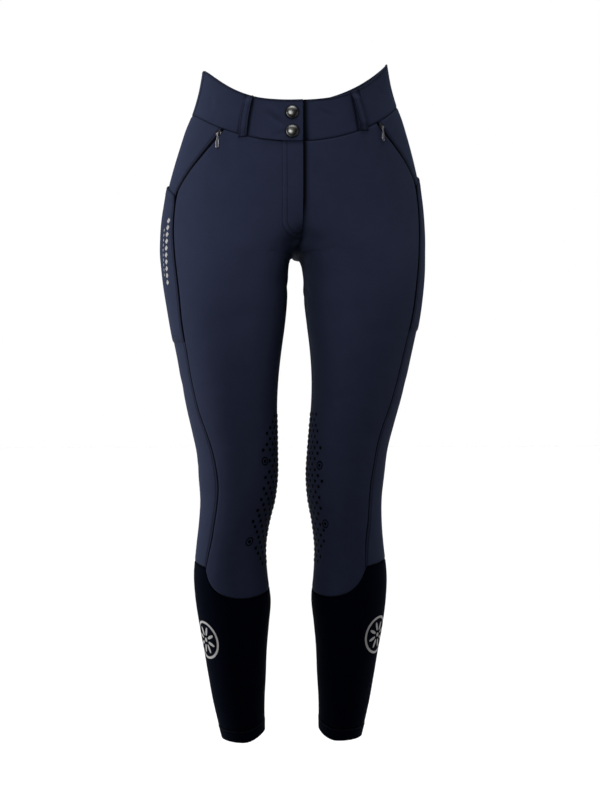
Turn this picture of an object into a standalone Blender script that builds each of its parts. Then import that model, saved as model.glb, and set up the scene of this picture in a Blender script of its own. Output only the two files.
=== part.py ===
"""Women's riding breeches with elastic socks: cloth walls, cut and sewn, round an open, empty hollow.

Metres, +Z up. +X is the wearer's left and the front faces -Y. The origin is the centre of the waist opening,
level with the waistband's top edge at centre front. The garment keeps the form it has when it is worn.

Every panel lies on one surface, ring() below. An angle, in degrees, runs round each half of it: 0 at the front
of the leg, 90 at its outer side, 180 at its back and 270 (or -90) at the inseam. The half is a whole tube below
the crotch. Above it the tube is cut by the plane between the halves, at centre front and centre back.
"""

import math

import bmesh
import bpy
import numpy as np

# ---- cloth and seams ----
CLOTH = 0.0015
BAND_CLOTH = 0.0020
POCKET_CLOTH = 0.0012
HEM_STEP = 0.0005
SEAM_HALF_GAP = 0.00015
EDGE_HALF_GAP = 0.00020
SOCK_HALF_GAP = 0.00030
LAY_GAP = 0.0003

# ---- the garment's sections: half widths from the centre plane, and depths ----
# gap is the inner leg's distance from the centre plane, beyond the arch at the crotch. x_front and x_back are
# where the front and the back of each half stand furthest out. y_side is the depth of the side's widest point.
SECTION_COLUMNS = ("z", "gap", "x_out", "x_front", "x_back", "y_side", "y_front", "y_back")
SECTIONS = (
    (-0.930, 0.0300, 0.0960, 0.0630, 0.0630, 0.040, 0.001, 0.079),
    (-0.886, 0.0298, 0.1072, 0.0720, 0.0720, 0.040, 0.000, 0.080),
    (-0.851, 0.0296, 0.1151, 0.0765, 0.0765, 0.039, -0.003, 0.082),
    (-0.816, 0.0277, 0.1212, 0.0790, 0.0790, 0.037, -0.010, 0.085),
    (-0.773, 0.0260, 0.1283, 0.0815, 0.0815, 0.035, -0.019, 0.091),
    (-0.739, 0.0230, 0.1344, 0.0830, 0.0830, 0.034, -0.022, 0.097),
    (-0.704, 0.0199, 0.1394, 0.0840, 0.0840, 0.034, -0.023, 0.100),
    (-0.670, 0.0235, 0.1413, 0.0865, 0.0865, 0.034, -0.025, 0.098),
    (-0.626, 0.0255, 0.1371, 0.0855, 0.0855, 0.032, -0.029, 0.091),
    (-0.592, 0.0212, 0.1337, 0.0820, 0.0820, 0.029, -0.035, 0.085),
    (-0.557, 0.0138, 0.1324, 0.0775, 0.0775, 0.025, -0.043, 0.081),
    (-0.523, 0.0107, 0.1351, 0.0775, 0.0775, 0.020, -0.051, 0.077),
    (-0.488, 0.0117, 0.1384, 0.0795, 0.0795, 0.016, -0.060, 0.075),
    (-0.453, 0.0134, 0.1463, 0.0840, 0.0840, 0.012, -0.069, 0.075),
    (-0.419, 0.0152, 0.1548, 0.0895, 0.0895, 0.009, -0.078, 0.077),
    (-0.384, 0.0149, 0.1623, 0.0935, 0.0935, 0.006, -0.086, 0.081),
    (-0.341, 0.0115, 0.1710, 0.0960, 0.0960, 0.004, -0.094, 0.088),
    (-0.307, 0.0074, 0.1781, 0.0965, 0.0965, 0.005, -0.098, 0.094),
    (-0.272, 0.0040, 0.1838, 0.0935, 0.0940, 0.009, -0.101, 0.103),
    (-0.240, 0.0026, 0.1882, 0.0860, 0.0880, 0.016, -0.102, 0.113),
    (-0.209, 0.0000, 0.1908, 0.0725, 0.0780, 0.024, -0.103, 0.125),
    (-0.194, 0.0000, 0.1918, 0.0610, 0.0740, 0.027, -0.104, 0.129),
    (-0.168, 0.0000, 0.1914, 0.0430, 0.0660, 0.029, -0.105, 0.133),
    (-0.125, 0.0000, 0.1868, 0.0170, 0.0520, 0.027, -0.107, 0.132),
    (-0.082, 0.0000, 0.1770, 0.0040, 0.0330, 0.022, -0.107, 0.125),
    (-0.039, 0.0000, 0.1640, 0.0000, 0.0100, 0.014, -0.104, 0.113),
    (-0.017, 0.0000, 0.1567, 0.0000, 0.0000, 0.011, -0.102, 0.108),
    (0.004, 0.0000, 0.1478, 0.0000, 0.0000, 0.007, -0.100, 0.103),
    (0.030, 0.0000, 0.1397, 0.0000, 0.0000, 0.003, -0.098, 0.099),
    (0.056, 0.0000, 0.1345, 0.0000, 0.0000, 0.000, -0.097, 0.097),
    (0.080, 0.0000, 0.1310, 0.0000, 0.0000, 0.000, -0.096, 0.096),
)

# How far the inner quarters bulge past a true ellipse, halfway round them.
FULLNESS_COLUMNS = ("z", "front", "back")
FULLNESS = (
    (-0.620, 0.00, 0.00),
    (-0.500, 0.03, 0.02),
    (-0.380, 0.07, 0.04),
    (-0.250, 0.10, 0.06),
    (-0.200, 0.10, 0.05),
    (-0.150, 0.04, 0.01),
    (-0.110, 0.00, 0.00),
    (-0.060, 0.00, 0.00),
)

# ---- the crotch: an arch below it, and how fast the halves run together above it, in front and behind ----
# Close to the inseam the sides follow both in full. The rest of the inner side follows more slowly.
CROTCH_Z = -0.2062
ARCH_HALF_WIDTH = 0.0102
ARCH_HEIGHT, ARCH_SPREAD = 0.018, 0.054
ARCH_BACK = 4.0
FORK_REACH = 0.200
FORK_RISE, FORK_SPREAD = 0.090, 0.050
FORK_POWERS = {"front": 1.0, "back": 1.3}
INNER_EDGE = 0.55

# ---- the stance it is worn in: hips tilted up on the wearer's left, lower legs turned, knees set to the right ----
HIP_TILT = math.radians(3.4)
STANCE_COLUMNS = ("z", "tilt_share", "turn_deg", "sway")
STANCE = (
    (-0.930, 0.00, 15.0, 0.0000),
    (-0.800, 0.00, 15.0, -0.0013),
    (-0.720, 0.00, 16.0, -0.0018),
    (-0.655, 0.00, 15.0, -0.0030),
    (-0.620, 0.05, 10.5, -0.0036),
    (-0.590, 0.12, 6.0, -0.0034),
    (-0.555, 0.25, 2.8, -0.0028),
    (-0.520, 0.38, 1.5, -0.0025),
    (-0.460, 0.60, 4.6, -0.0014),
    (-0.380, 0.80, 6.2, 0.0004),
    (-0.300, 0.85, 3.6, 0.0014),
    (-0.240, 0.85, 1.0, 0.0008),
    (-0.195, 0.85, 0.0, 0.0000),
    (-0.150, 0.90, 0.0, 0.0000),
    (-0.060, 1.00, 0.0, 0.0000),
    (0.080, 1.00, 0.0, 0.0000),
)

# ---- seam lines ----
# Where the front and the back edge of the side panel lie, as angles round the leg.
SIDE_SEAM_COLUMNS = ("z", "front", "back")
SIDE_SEAMS = (
    (-0.930, 32.5, 125.0),
    (-0.655, 32.0, 125.0),
    (-0.612, 31.0, 123.0),
    (-0.590, 33.2, 122.0),
    (-0.560, 34.6, 121.0),
    (-0.530, 33.8, 120.0),
    (-0.500, 36.6, 119.0),
    (-0.460, 40.5, 118.0),
    (-0.430, 45.3, 117.0),
    (-0.390, 48.8, 116.0),
    (-0.340, 51.0, 115.0),
    (-0.300, 52.8, 114.0),
    (-0.250, 54.4, 113.0),
    (-0.200, 59.5, 113.0),
    (-0.165, 63.6, 112.0),
    (-0.130, 66.2, 112.0),
    (-0.110, 67.2, 112.0),
    (-0.090, 62.2, 112.0),
    (-0.066, 53.8, 113.0),
    (-0.036, 43.6, 114.0),
    (0.010, 36.0, 116.0),
)
# The sock's upper edge, all the way round.
SOCK_EDGE_COLUMNS = ("angle", "z")
SOCK_EDGE = (
    (-90.0, -0.687),
    (-45.0, -0.695),
    (-25.0, -0.6965),
    (-5.0, -0.694),
    (10.0, -0.688),
    (20.6, -0.680),
    (27.0, -0.670),
    (34.0, -0.654),
    (60.0, -0.6525),
    (90.0, -0.648),
    (125.0, -0.646),
    (160.0, -0.656),
    (200.0, -0.668),
    (240.0, -0.680),
    (270.0, -0.687),
)
HEM_FRONT_Z = -0.906
HEM_RISE_INNER = 0.010
HEM_RISE_BACK = 0.004
HEM_DEPTH = 0.0175

# ---- waistband: heights of its two edges, from centre front to the side and to centre back ----
BAND_TOP_FRONT, BAND_TOP_SIDE, BAND_TOP_BACK, BAND_TOP_POWER = 0.000, 0.064, 0.033, 2.4
BAND_SEAM_FRONT, BAND_SEAM_SIDE, BAND_SEAM_BACK, BAND_SEAM_POWER = -0.058, 0.002, -0.027, 2.0
UNDERLAP = 0.032
TAB_LIFT = BAND_CLOTH + LAY_GAP
TAB_FLAT_DEG, TAB_END_DEG = 14.0, 26.0

# ---- levels of the panels' points: a stretch above the sock, level rows, and a stretch below the waistband ----
CALF_Z, HIP_Z = -0.600, -0.110
ROWS_ABOVE_SOCK, ROWS_BELOW_BAND = 2, 3
LEVELS = (
    CALF_Z, -0.570, -0.545, -0.515, -0.485, -0.450, -0.415, -0.375, -0.335, -0.300, -0.270, -0.245,
    -0.225, -0.215, -0.2095, CROTCH_Z, -0.2032, -0.199, -0.192, -0.180, -0.170, -0.160, -0.135, HIP_Z,
)
FRONT_COLUMNS, SIDE_COLUMNS, BACK_COLUMNS = 10, 4, 12
SWING_POWER = 2.5
BAND_SIDE_COLUMNS = 2
BAND_ROWS = 3
SOCK_ROWS = 8

# ---- fly, pocket, zip ----
FLY_WIDTH, FLY_CLOTH, FLY_BOTTOM_Z = 0.030, 0.0010, -0.1895
FLY_LAY = 0.0007
FLY_CORNER_RADIUS, FLY_CORNER_TOP_Z = 0.024, -0.160
FLY_COLUMNS = 5
POCKET_BOTTOM_Z, POCKET_BOTTOM_RISE = -0.3245, 0.004
POCKET_MOUTH_Z, POCKET_MOUTH_RISE = -0.1150, 0.024
POCKET_ROW_SPACE = 0.004
ZIP_END_Z, ZIP_FADE = -0.112, 0.020
ZIP_HALF_GAP, ZIP_HALF_WIDTH, ZIP_DEPTH, ZIP_CLOTH = 0.0020, 0.0017, 0.0003, 0.0012

# ---- snaps: how far they stand from centre front, their height and their domed cap ----
SNAP_X, SNAP_TOP_Z, SNAP_BOTTOM_Z = -0.0148, -0.0176, -0.0440
SNAP_RADIUS, SNAP_RIM, SNAP_HEIGHT = 0.0085, 0.0013, 0.0040
SNAP_SEGMENTS, SNAP_RINGS = 20, 4

# ---- belt loops: angle at the top and at the lower end, on the side named ----
LOOP_COLUMNS = ("name", "side", "top", "bottom")
LOOPS = (
    ("belt_loop_front_right", -1, 30.0, 29.5),
    ("belt_loop_front_left", 1, 30.0, 32.0),
    ("belt_loop_back_right", -1, 130.0, 130.0),
    ("belt_loop_back_left", 1, 130.0, 130.0),
    ("belt_loop_back_centre", 1, 180.0, 180.0),
)
LOOP_WIDTH, LOOP_CLOTH, LOOP_STANDOFF, LOOP_OVERHANG = 0.0125, 0.0016, 0.0030, 0.003
LOOP_LAY = 0.0005
LOOP_ROWS = 10

# ---- zip slider and pull tab, in the slider's own frame: across, down, out ----
SLIDER_DROP = 0.0065
SLIDER_LENGTH, SLIDER_WIDTH, SLIDER_FLOOR, SLIDER_TOP = 0.0090, 0.0062, 0.0005, 0.0020
PIN_HEIGHT, PIN_RADIUS, PIN_DOWN = 0.0038, 0.0005, 0.0010
EAR_INNER, EAR_THICK, EAR_HALF, EAR_TOP = 0.0016, 0.0008, 0.0011, 0.0047
EYE_RADIUS, EYE_HOLE, EYE_HALF_WIDTH = 0.00135, 0.00085, 0.0012
PULL_LENGTH, PULL_HALF_WIDTH, PULL_NECK, PULL_CLOTH = 0.0200, 0.0026, 0.0011, 0.0012
PULL_LEAN = math.radians(4.5)
ROUND_STEPS = 14

RIGHT, LEFT = -1, 1
SIDE_NAMES = {RIGHT: "right", LEFT: "left"}


# ---------------------------------------------------------------- the garment's surface


def smooth(x, table, columns, name):
    """A table's column at x, on a smooth curve through its rows (cubic, slopes from the rows beside)."""
    knots = np.array([row[0] for row in table])
    values = np.array([row[columns.index(name)] for row in table])
    slopes = np.gradient(values, knots)
    x = np.clip(x, knots[0], knots[-1])
    i = np.clip(np.searchsorted(knots, x) - 1, 0, len(knots) - 2)
    step = knots[i + 1] - knots[i]
    t = (x - knots[i]) / step
    return (
        (1 + 2 * t) * (1 - t) ** 2 * values[i]
        + t * (1 - t) ** 2 * step * slopes[i]
        + t**2 * (3 - 2 * t) * values[i + 1]
        + t**2 * (t - 1) * step * slopes[i + 1]
    )


def ease(t):
    """0 to 1, level at both ends."""
    t = np.clip(t, 0.0, 1.0)
    return t * t * (3 - 2 * t)


def crotch_shift(z, across, forward):
    """How far an inner side stands off the centre plane for the arch, or past it for the fork, less each section's gap.

    The whole inner side takes the slow share of both; only its edge, near the inseam, takes the rest.
    """
    below, above = np.clip(CROTCH_Z - z, 0.0, None), np.clip(z - CROTCH_Z, 0.0, None)
    arch = ARCH_HALF_WIDTH * np.sqrt(1 - (1 - np.clip(below / ARCH_HEIGHT, 0.0, 1.0)) ** 2)
    arch_share = ARCH_HALF_WIDTH * ease(below / ARCH_SPREAD)
    power = np.where(forward >= 0, FORK_POWERS["front"], FORK_POWERS["back"])
    fork = FORK_REACH * np.tanh((above / FORK_RISE) ** power)
    fork_share = fork * ease(above / FORK_SPREAD)
    edge = ease((-across - INNER_EDGE) / (1 - INNER_EDGE))
    at_edge = (arch - arch_share) * (1 + ARCH_BACK * np.clip(-forward, 0.0, None)) - (fork - fork_share)
    return (arch_share - fork_share) * np.clip(-across, 0.0, None) + at_edge * edge


def half_section(z, across, forward):
    """Distance from the centre plane and depth of a half's section, four quarter ellipses, bulged inside."""
    section = {name: smooth(z, SECTIONS, SECTION_COLUMNS, name) for name in SECTION_COLUMNS[1:]}
    middle = np.where(forward >= 0, section["x_front"], section["x_back"])
    reach = np.where(across >= 0, section["x_out"] - middle, middle - section["gap"])
    depth = np.where(forward >= 0, section["y_side"] - section["y_front"], section["y_back"] - section["y_side"])
    full = np.where(forward >= 0, *(smooth(z, FULLNESS, FULLNESS_COLUMNS, where) for where in ("front", "back")))
    bulge = 1 + np.where(across < 0, full, 0.0) * (2 * across * forward) ** 2
    x = middle + reach * across * bulge + crotch_shift(z, across, forward)
    return x, section["y_side"] - depth * forward * bulge


def inner_angle(x, z, where):
    """Angle from the front (or from the back) to where an inner quarter is x from the centre plane, by halving."""
    low, high = np.zeros(np.broadcast(x, z).shape), np.full(np.broadcast(x, z).shape, 90.0)
    facing = 1.0 if where == "front" else -1.0
    for _ in range(26):
        middle = (low + high) / 2
        turn = np.radians(middle)
        outside = half_section(z, -np.sin(turn), facing * np.cos(turn))[0] > x
        low, high = np.where(outside, middle, low), np.where(outside, high, middle)
    return (low + high) / 2


def ring(side, angle, z):
    """Points of the cloth's outer surface, in the stance it is worn in."""
    side, angle, z = np.broadcast_arrays(np.asarray(side, float), np.asarray(angle, float), np.asarray(z, float))
    stance = {name: smooth(z, STANCE, STANCE_COLUMNS, name) for name in STANCE_COLUMNS[1:]}
    turned = np.radians(angle - side * stance["turn_deg"])
    x, y = half_section(z, np.sin(turned), np.cos(turned))
    x = side * x + stance["sway"]
    return np.stack([x, y, z + math.tan(HIP_TILT) * stance["tilt_share"] * x], axis=-1)


def normal_and_scale(side, angle, z):
    """The surface's outward normal, and how many metres one degree round it is."""
    turn, lift = 0.25, 0.0003
    round_it = ring(side, angle + turn, z) - ring(side, angle - turn, z)
    up_it = ring(side, angle, z + lift) - ring(side, angle, z - lift)
    out = np.cross(round_it, up_it) * np.broadcast_to(np.asarray(side, float), round_it.shape[:-1])[..., None]
    length = np.linalg.norm(out, axis=-1, keepdims=True)
    return out / length, np.linalg.norm(round_it, axis=-1) / (2 * turn)


def off_surface(side, angle, z, distance):
    """Points moved out from the surface by a distance, or in by a negative one, each kept on its own half."""
    out, _ = normal_and_scale(side, angle, z)
    points = ring(side, angle, z) + out * np.broadcast_to(np.asarray(distance, float), out.shape[:-1])[..., None]
    points[..., 0] = side * np.maximum(side * points[..., 0], SEAM_HALF_GAP)
    return points


# ---------------------------------------------------------------- seam lines


def centre_front(z):
    """Angle of the centre front seam, and of the inseam's front edge below the crotch."""
    return np.where(z > CROTCH_Z, -inner_angle(0.0, z, "front"), -90.0)


def centre_back(z):
    """Angle of the centre back seam, and of the inseam's back edge below the crotch."""
    return np.where(z > CROTCH_Z, 180 + inner_angle(0.0, z, "back"), 270.0)


def front_seam(z):
    return smooth(z, SIDE_SEAMS, SIDE_SEAM_COLUMNS, "front")


def back_seam(z):
    return smooth(z, SIDE_SEAMS, SIDE_SEAM_COLUMNS, "back")


def band_edge(angle, front, side, back, power):
    """Height of a waistband edge: lowest at centre front, highest at the side, between them at centre back."""
    share = np.abs(np.sin(np.radians(angle))) ** power
    return np.where(np.abs(angle) <= 90, front + (side - front) * share, back + (side - back) * share)


def band_top(angle):
    return band_edge(angle, BAND_TOP_FRONT, BAND_TOP_SIDE, BAND_TOP_BACK, BAND_TOP_POWER)


def band_seam(angle):
    return band_edge(angle, BAND_SEAM_FRONT, BAND_SEAM_SIDE, BAND_SEAM_BACK, BAND_SEAM_POWER)


def sock_edge(angle):
    return smooth(angle, SOCK_EDGE, SOCK_EDGE_COLUMNS, "z")


def hem_edge(angle):
    """Height of the sock's lower edge: it dips at the front, and rises to the inseam and a little to the back."""
    turn = np.radians(angle)
    inner = HEM_RISE_INNER * np.clip(-np.sin(turn), 0, None) ** 2
    return HEM_FRONT_Z + inner + HEM_RISE_BACK * (1 - np.cos(turn)) / 2


def seam_gap(z):
    """Half the gap at the front side seam: it opens where the pocket's zip is set in."""
    return SEAM_HALF_GAP + (ZIP_HALF_GAP - SEAM_HALF_GAP) * ease((z - ZIP_END_Z + ZIP_FADE) / ZIP_FADE)


def row_heights(angle):
    """Heights of a panel's rows, from the sock's edge up to the waistband's seam; angle is rows by columns."""
    low, high = sock_edge(angle[0]) + SOCK_HALF_GAP, band_seam(angle[-1]) - EDGE_HALF_GAP
    above_sock = np.linspace(0, 1, ROWS_ABOVE_SOCK + 1)[:-1, None]
    below_band = np.linspace(0, 1, ROWS_BELOW_BAND + 1)[1:, None]
    level = np.array(LEVELS)[:, None] + 0 * angle[0]
    return np.vstack([low + (CALF_Z - low) * above_sock, level, HIP_Z + (high - HIP_Z) * below_band])


def spread(first, last, share):
    """Angles between a panel's two edges. Above the crotch an inner edge swings away from the inseam's angle.

    The columns next to it follow that swing, and the others hardly move. At the top all are evenly spaced.
    """
    away_front, away_back = np.maximum(first, -90.0) + 90, 270 - np.minimum(last, 270.0)
    if np.any(first < 0):
        power = 1 + SWING_POWER * (1 - np.clip(away_front / 90, 0, 1))
        return -90 + (last + 90) * share + away_front * (1 - share) ** power
    if np.any(last > 180):
        power = 1 + SWING_POWER * (1 - np.clip(away_back / 90, 0, 1))
        return first + (270 - first) * share - away_back * share**power
    return first + (last - first) * share


def panel_grid(side, start, end, columns, start_gap, end_gap):
    """Angles and heights of a panel between two seam lines, with the seams' half gaps left free."""
    rows = ROWS_ABOVE_SOCK + len(LEVELS) + ROWS_BELOW_BAND
    share = np.linspace(0, 1, columns + 1)
    z = np.interp(np.arange(rows), [0, rows - 1], [CALF_Z, HIP_Z])[:, None] + 0 * share
    for _ in range(12):
        first, last = start(z), end(z)
        _, first_scale = normal_and_scale(side, first, z)
        _, last_scale = normal_and_scale(side, last, z)
        first = first + start_gap(z) / first_scale
        last = last - end_gap(z) / last_scale
        angle = spread(first, last, share)
        z = row_heights(angle)
    return angle, z


def plain_gap(z):
    return SEAM_HALF_GAP + 0 * z


# ---------------------------------------------------------------- meshes


def material(name, colour, roughness, metallic=0.0):
    """A Principled material from an sRGB hex colour."""
    found = bpy.data.materials.get(name)
    if found:
        return found
    made = bpy.data.materials.new(name)
    made.use_nodes = True
    values = [int(colour[i : i + 2], 16) / 255 for i in (0, 2, 4)]
    linear = [c / 12.92 if c <= 0.04045 else ((c + 0.055) / 1.055) ** 2.4 for c in values]
    shader = made.node_tree.nodes["Principled BSDF"]
    shader.inputs["Base Color"].default_value = (*linear, 1.0)
    shader.inputs["Roughness"].default_value = roughness
    shader.inputs["Metallic"].default_value = metallic
    return made


def navy_cloth():
    return material("navy_stretch_cloth", "1e2336", 0.75)


def sock_cloth():
    return material("black_navy_elastic", "0a0d16", 0.8)


def zip_cloth():
    return material("zip_tape_and_coil", "0b0e18", 0.6)


def gunmetal():
    return material("gunmetal_plated_brass", "6d6d70", 0.25, 1.0)


def add_object(name, points, faces, look):
    """An object from points and faces, its faces turned outwards."""
    mesh = bpy.data.meshes.new(name)
    mesh.from_pydata([tuple(p) for p in points], [], faces)
    shape = bmesh.new()
    shape.from_mesh(mesh)
    bmesh.ops.recalc_face_normals(shape, faces=shape.faces)
    shape.to_mesh(mesh)
    shape.free()
    mesh.shade_smooth()
    mesh.set_sharp_from_angle(angle=math.radians(40))
    mesh.materials.append(look)
    made = bpy.data.objects.new(name, mesh)
    bpy.context.collection.objects.link(made)
    return made


def wall_object(name, outer, inner, look, closed=False):
    """A cloth wall between an outer and an inner grid of points (rows by columns), closed round its edges.

    closed joins the last column to the first, for a tube. Both grids are split along the same diagonals, the
    shorter one of each outer cell.
    """
    rows, columns = outer.shape[:2]
    beside = np.roll(outer, -1, axis=1)
    rising = np.linalg.norm(beside[1:] - outer[:-1], axis=-1) <= np.linalg.norm(outer[1:] - beside[:-1], axis=-1)
    index = np.arange(rows * columns).reshape(rows, columns)
    turns = columns if closed else columns - 1
    faces = []
    for shift in (0, rows * columns):
        for r in range(rows - 1):
            for c in range(turns):
                a, b = index[r, c] + shift, index[r, (c + 1) % columns] + shift
                d, e = index[r + 1, c] + shift, index[r + 1, (c + 1) % columns] + shift
                corners = [(a, b, e), (a, e, d)] if rising[r, c] else [(a, b, d), (b, e, d)]
                faces += corners if shift == 0 else [f[::-1] for f in corners]
    below = rows * columns
    borders = [[(index[0, c], index[0, (c + 1) % columns]) for c in range(turns)]]
    borders += [[(index[-1, (c + 1) % columns], index[-1, c]) for c in range(turns)]]
    if not closed:
        borders += [[(index[r + 1, 0], index[r, 0]) for r in range(rows - 1)]]
        borders += [[(index[r, -1], index[r + 1, -1]) for r in range(rows - 1)]]
    for border in borders:
        faces += [(b, a, a + below, b + below) for a, b in border]
    points = np.vstack([outer.reshape(-1, 3), inner.reshape(-1, 3)])
    return add_object(name, points, [tuple(int(i) for i in f) for f in faces], look)


def cloth_wall(name, side, angle, z, thickness, look, lift=0.0, closed=False):
    """A wall whose outer side stands lift off the garment's surface."""
    outer = off_surface(side, angle, z, lift)
    inner = off_surface(side, angle, z, lift - thickness)
    return wall_object(name, outer, inner, look, closed)


# ---------------------------------------------------------------- cloth pieces


def leg_panels(side):
    """Front, side and back panel of one half, from the waistband's seam to the sock."""
    name = SIDE_NAMES[side]
    cuts = (
        ("front", centre_front, front_seam, FRONT_COLUMNS, plain_gap, seam_gap),
        ("side_panel", front_seam, back_seam, SIDE_COLUMNS, seam_gap, plain_gap),
        ("back", back_seam, centre_back, BACK_COLUMNS, plain_gap, plain_gap),
    )
    for piece, start, end, columns, start_gap, end_gap in cuts:
        angle, z = panel_grid(side, start, end, columns, start_gap, end_gap)
        cloth_wall(f"{piece}_{name}", side, angle, z, CLOTH, navy_cloth())


def seam_columns(edge, stops, counts):
    """Angles where a seam's points lie, shared by the pieces on both its sides."""
    angles = [np.linspace(a, b, n + 1)[:-1] for a, b, n in zip(stops, stops[1:], counts)]
    return np.concatenate(angles + [stops[-1:]]) if edge == "open" else np.concatenate(angles)


def seam_angle(seam, edge):
    """The angle where a side seam meets a band's or a sock's edge."""
    z = 0.0
    for _ in range(20):
        z = edge(seam(z))
    return float(seam(z))


def sock(side):
    """The elastic tube from the curved calf seam to the hem; its turned-up hem stands a little proud."""
    stops = [-90.0, seam_angle(front_seam, sock_edge), seam_angle(back_seam, sock_edge), 270.0]
    angle = seam_columns("closed", stops, [FRONT_COLUMNS, SIDE_COLUMNS, BACK_COLUMNS])
    top, bottom = sock_edge(angle) - SOCK_HALF_GAP, hem_edge(angle)
    fold = bottom + HEM_DEPTH
    share = np.linspace(0, 1, SOCK_ROWS)[:, None]
    z = np.vstack([bottom, fold, fold + EDGE_HALF_GAP * 4, (fold + (top - fold) * share)[1:]])
    lift = np.zeros(z.shape)
    lift[:2] = HEM_STEP
    outer = off_surface(side, angle, z, lift)
    inner = off_surface(side, angle, z, -CLOTH)
    wall_object(f"sock_{SIDE_NAMES[side]}", outer, inner, sock_cloth(), closed=True)


def band_heights(angle):
    """Rows of heights between the waistband's two edges."""
    low, high = band_seam(angle) + EDGE_HALF_GAP, band_top(angle)
    return low + (high - low) * np.linspace(0, 1, BAND_ROWS + 1)[:, None]


def band_stops():
    """Angles of the waistband's side seam and of the seams that end at it."""
    front, back = seam_angle(front_seam, band_seam), seam_angle(back_seam, band_seam)
    return front, front + (back - front) * BAND_SIDE_COLUMNS / SIDE_COLUMNS, back


def band_front_columns():
    front, side, _ = band_stops()
    return seam_columns("open", [0.0, front, side], [FRONT_COLUMNS, BAND_SIDE_COLUMNS])


def end_short(side, angle, z, last):
    """Angles with the column named moved back from the seam by its half gap."""
    grid = np.tile(angle, (len(z), 1))
    _, scale = normal_and_scale(side, grid, z)
    grid[:, last] += (1 if last == 0 else -1) * SEAM_HALF_GAP / scale[:, last]
    return grid


def waistband():
    """Right front with its raised tab, left front with the underlap that the snaps close on, and the back."""
    columns = band_front_columns()
    heights = band_heights(columns)
    grid = end_short(RIGHT, columns, heights, -1)
    lift = TAB_LIFT * (1 - ease((columns - TAB_FLAT_DEG) / (TAB_END_DEG - TAB_FLAT_DEG)))
    cloth_wall("waistband_front_right", RIGHT, grid, heights, BAND_CLOTH, navy_cloth(), lift=lift)

    under = math.degrees(math.asin(UNDERLAP / smooth(-0.03, SECTIONS, SECTION_COLUMNS, "x_out")))
    signed = np.concatenate([-np.linspace(under, 0, 4)[:-1], columns])
    sides, angle = np.where(signed < 0, RIGHT, LEFT), np.abs(signed)
    heights = band_heights(angle)
    grid = end_short(sides, angle, heights, -1)
    cloth_wall("waistband_front_left", sides, grid, heights, BAND_CLOTH, navy_cloth())

    _, side_stop, back_stop = band_stops()
    half = seam_columns("open", [side_stop, back_stop, 180.0], [SIDE_COLUMNS - BAND_SIDE_COLUMNS, BACK_COLUMNS])
    angle = np.concatenate([half, half[-2::-1]])
    sides = np.where(np.arange(len(angle)) < len(half), RIGHT, LEFT)
    heights = band_heights(angle)
    grid = end_short(sides, angle, heights, 0)
    grid[:, -1] = grid[:, 0]
    cloth_wall("waistband_back", sides, grid, heights, BAND_CLOTH, navy_cloth())


def fly_placket():
    """The right front's folded edge, stitched in a J: a flat strip with a round lower corner.

    Its rows lie on the front panel's own rows above the corner, so that the two stay the same distance apart.
    """
    distance = np.linspace(0, FLY_WIDTH, FLY_COLUMNS + 1)
    inside = np.clip(distance - (FLY_WIDTH - FLY_CORNER_RADIUS), 0, FLY_CORNER_RADIUS)
    low = FLY_BOTTOM_Z + FLY_CORNER_RADIUS - np.sqrt(FLY_CORNER_RADIUS**2 - inside**2)
    levels = np.array([FLY_BOTTOM_Z, *(z for z in LEVELS if z > FLY_BOTTOM_Z)])[:, None]
    climb = np.clip((levels - FLY_BOTTOM_Z) / (FLY_CORNER_TOP_Z - FLY_BOTTOM_Z), 0, 1)
    straight = levels + (low - FLY_BOTTOM_Z) * (1 - climb)
    below_band = np.linspace(0, 1, ROWS_BELOW_BAND + 1)[1:, None]
    z = straight
    top = HIP_Z
    for _ in range(8):
        z = np.vstack([straight, HIP_Z + (top - HIP_Z) * below_band + 0 * distance])
        x_front = smooth(z, SECTIONS, SECTION_COLUMNS, "x_front")
        outer_share = (distance - x_front) / (smooth(z, SECTIONS, SECTION_COLUMNS, "x_out") - x_front)
        outer_angle = np.degrees(np.arcsin(np.clip(outer_share, 0.0, 1.0)))
        angle = np.where(distance < x_front, -inner_angle(distance, z, "front"), outer_angle)
        top = band_seam(np.maximum(angle[-1], 0)) - EDGE_HALF_GAP
    cloth_wall("fly_placket", RIGHT, angle, z, FLY_CLOTH, navy_cloth(), lift=FLY_LAY + FLY_CLOTH)


def phone_pocket(side):
    """A patch over the side panel, caught in both its seams and the lower edge, its slanted mouth free."""
    angle, z = panel_grid(side, front_seam, back_seam, SIDE_COLUMNS, seam_gap, plain_gap)
    share = (angle[-1] - angle[-1, 0]) / (angle[-1, -1] - angle[-1, 0])
    low = POCKET_BOTTOM_Z + POCKET_BOTTOM_RISE * share
    high = POCKET_MOUTH_Z + POCKET_MOUTH_RISE * ease(share)
    between = [row for row in z if np.all(row > low.max() + POCKET_ROW_SPACE) and np.all(row < high - POCKET_ROW_SPACE)]
    rows = np.vstack([low, *between, (between[-1] + high) / 2, high])
    first, last = front_seam(rows), back_seam(rows)
    _, first_scale = normal_and_scale(side, first, rows)
    _, last_scale = normal_and_scale(side, last, rows)
    first = first + seam_gap(rows) / first_scale
    last = last - SEAM_HALF_GAP / last_scale
    grid = first + (last - first) * np.linspace(0, 1, SIDE_COLUMNS + 1)
    lift = LAY_GAP + POCKET_CLOTH
    cloth_wall(f"phone_pocket_{SIDE_NAMES[side]}", side, grid, rows, POCKET_CLOTH, navy_cloth(), lift=lift)


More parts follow.
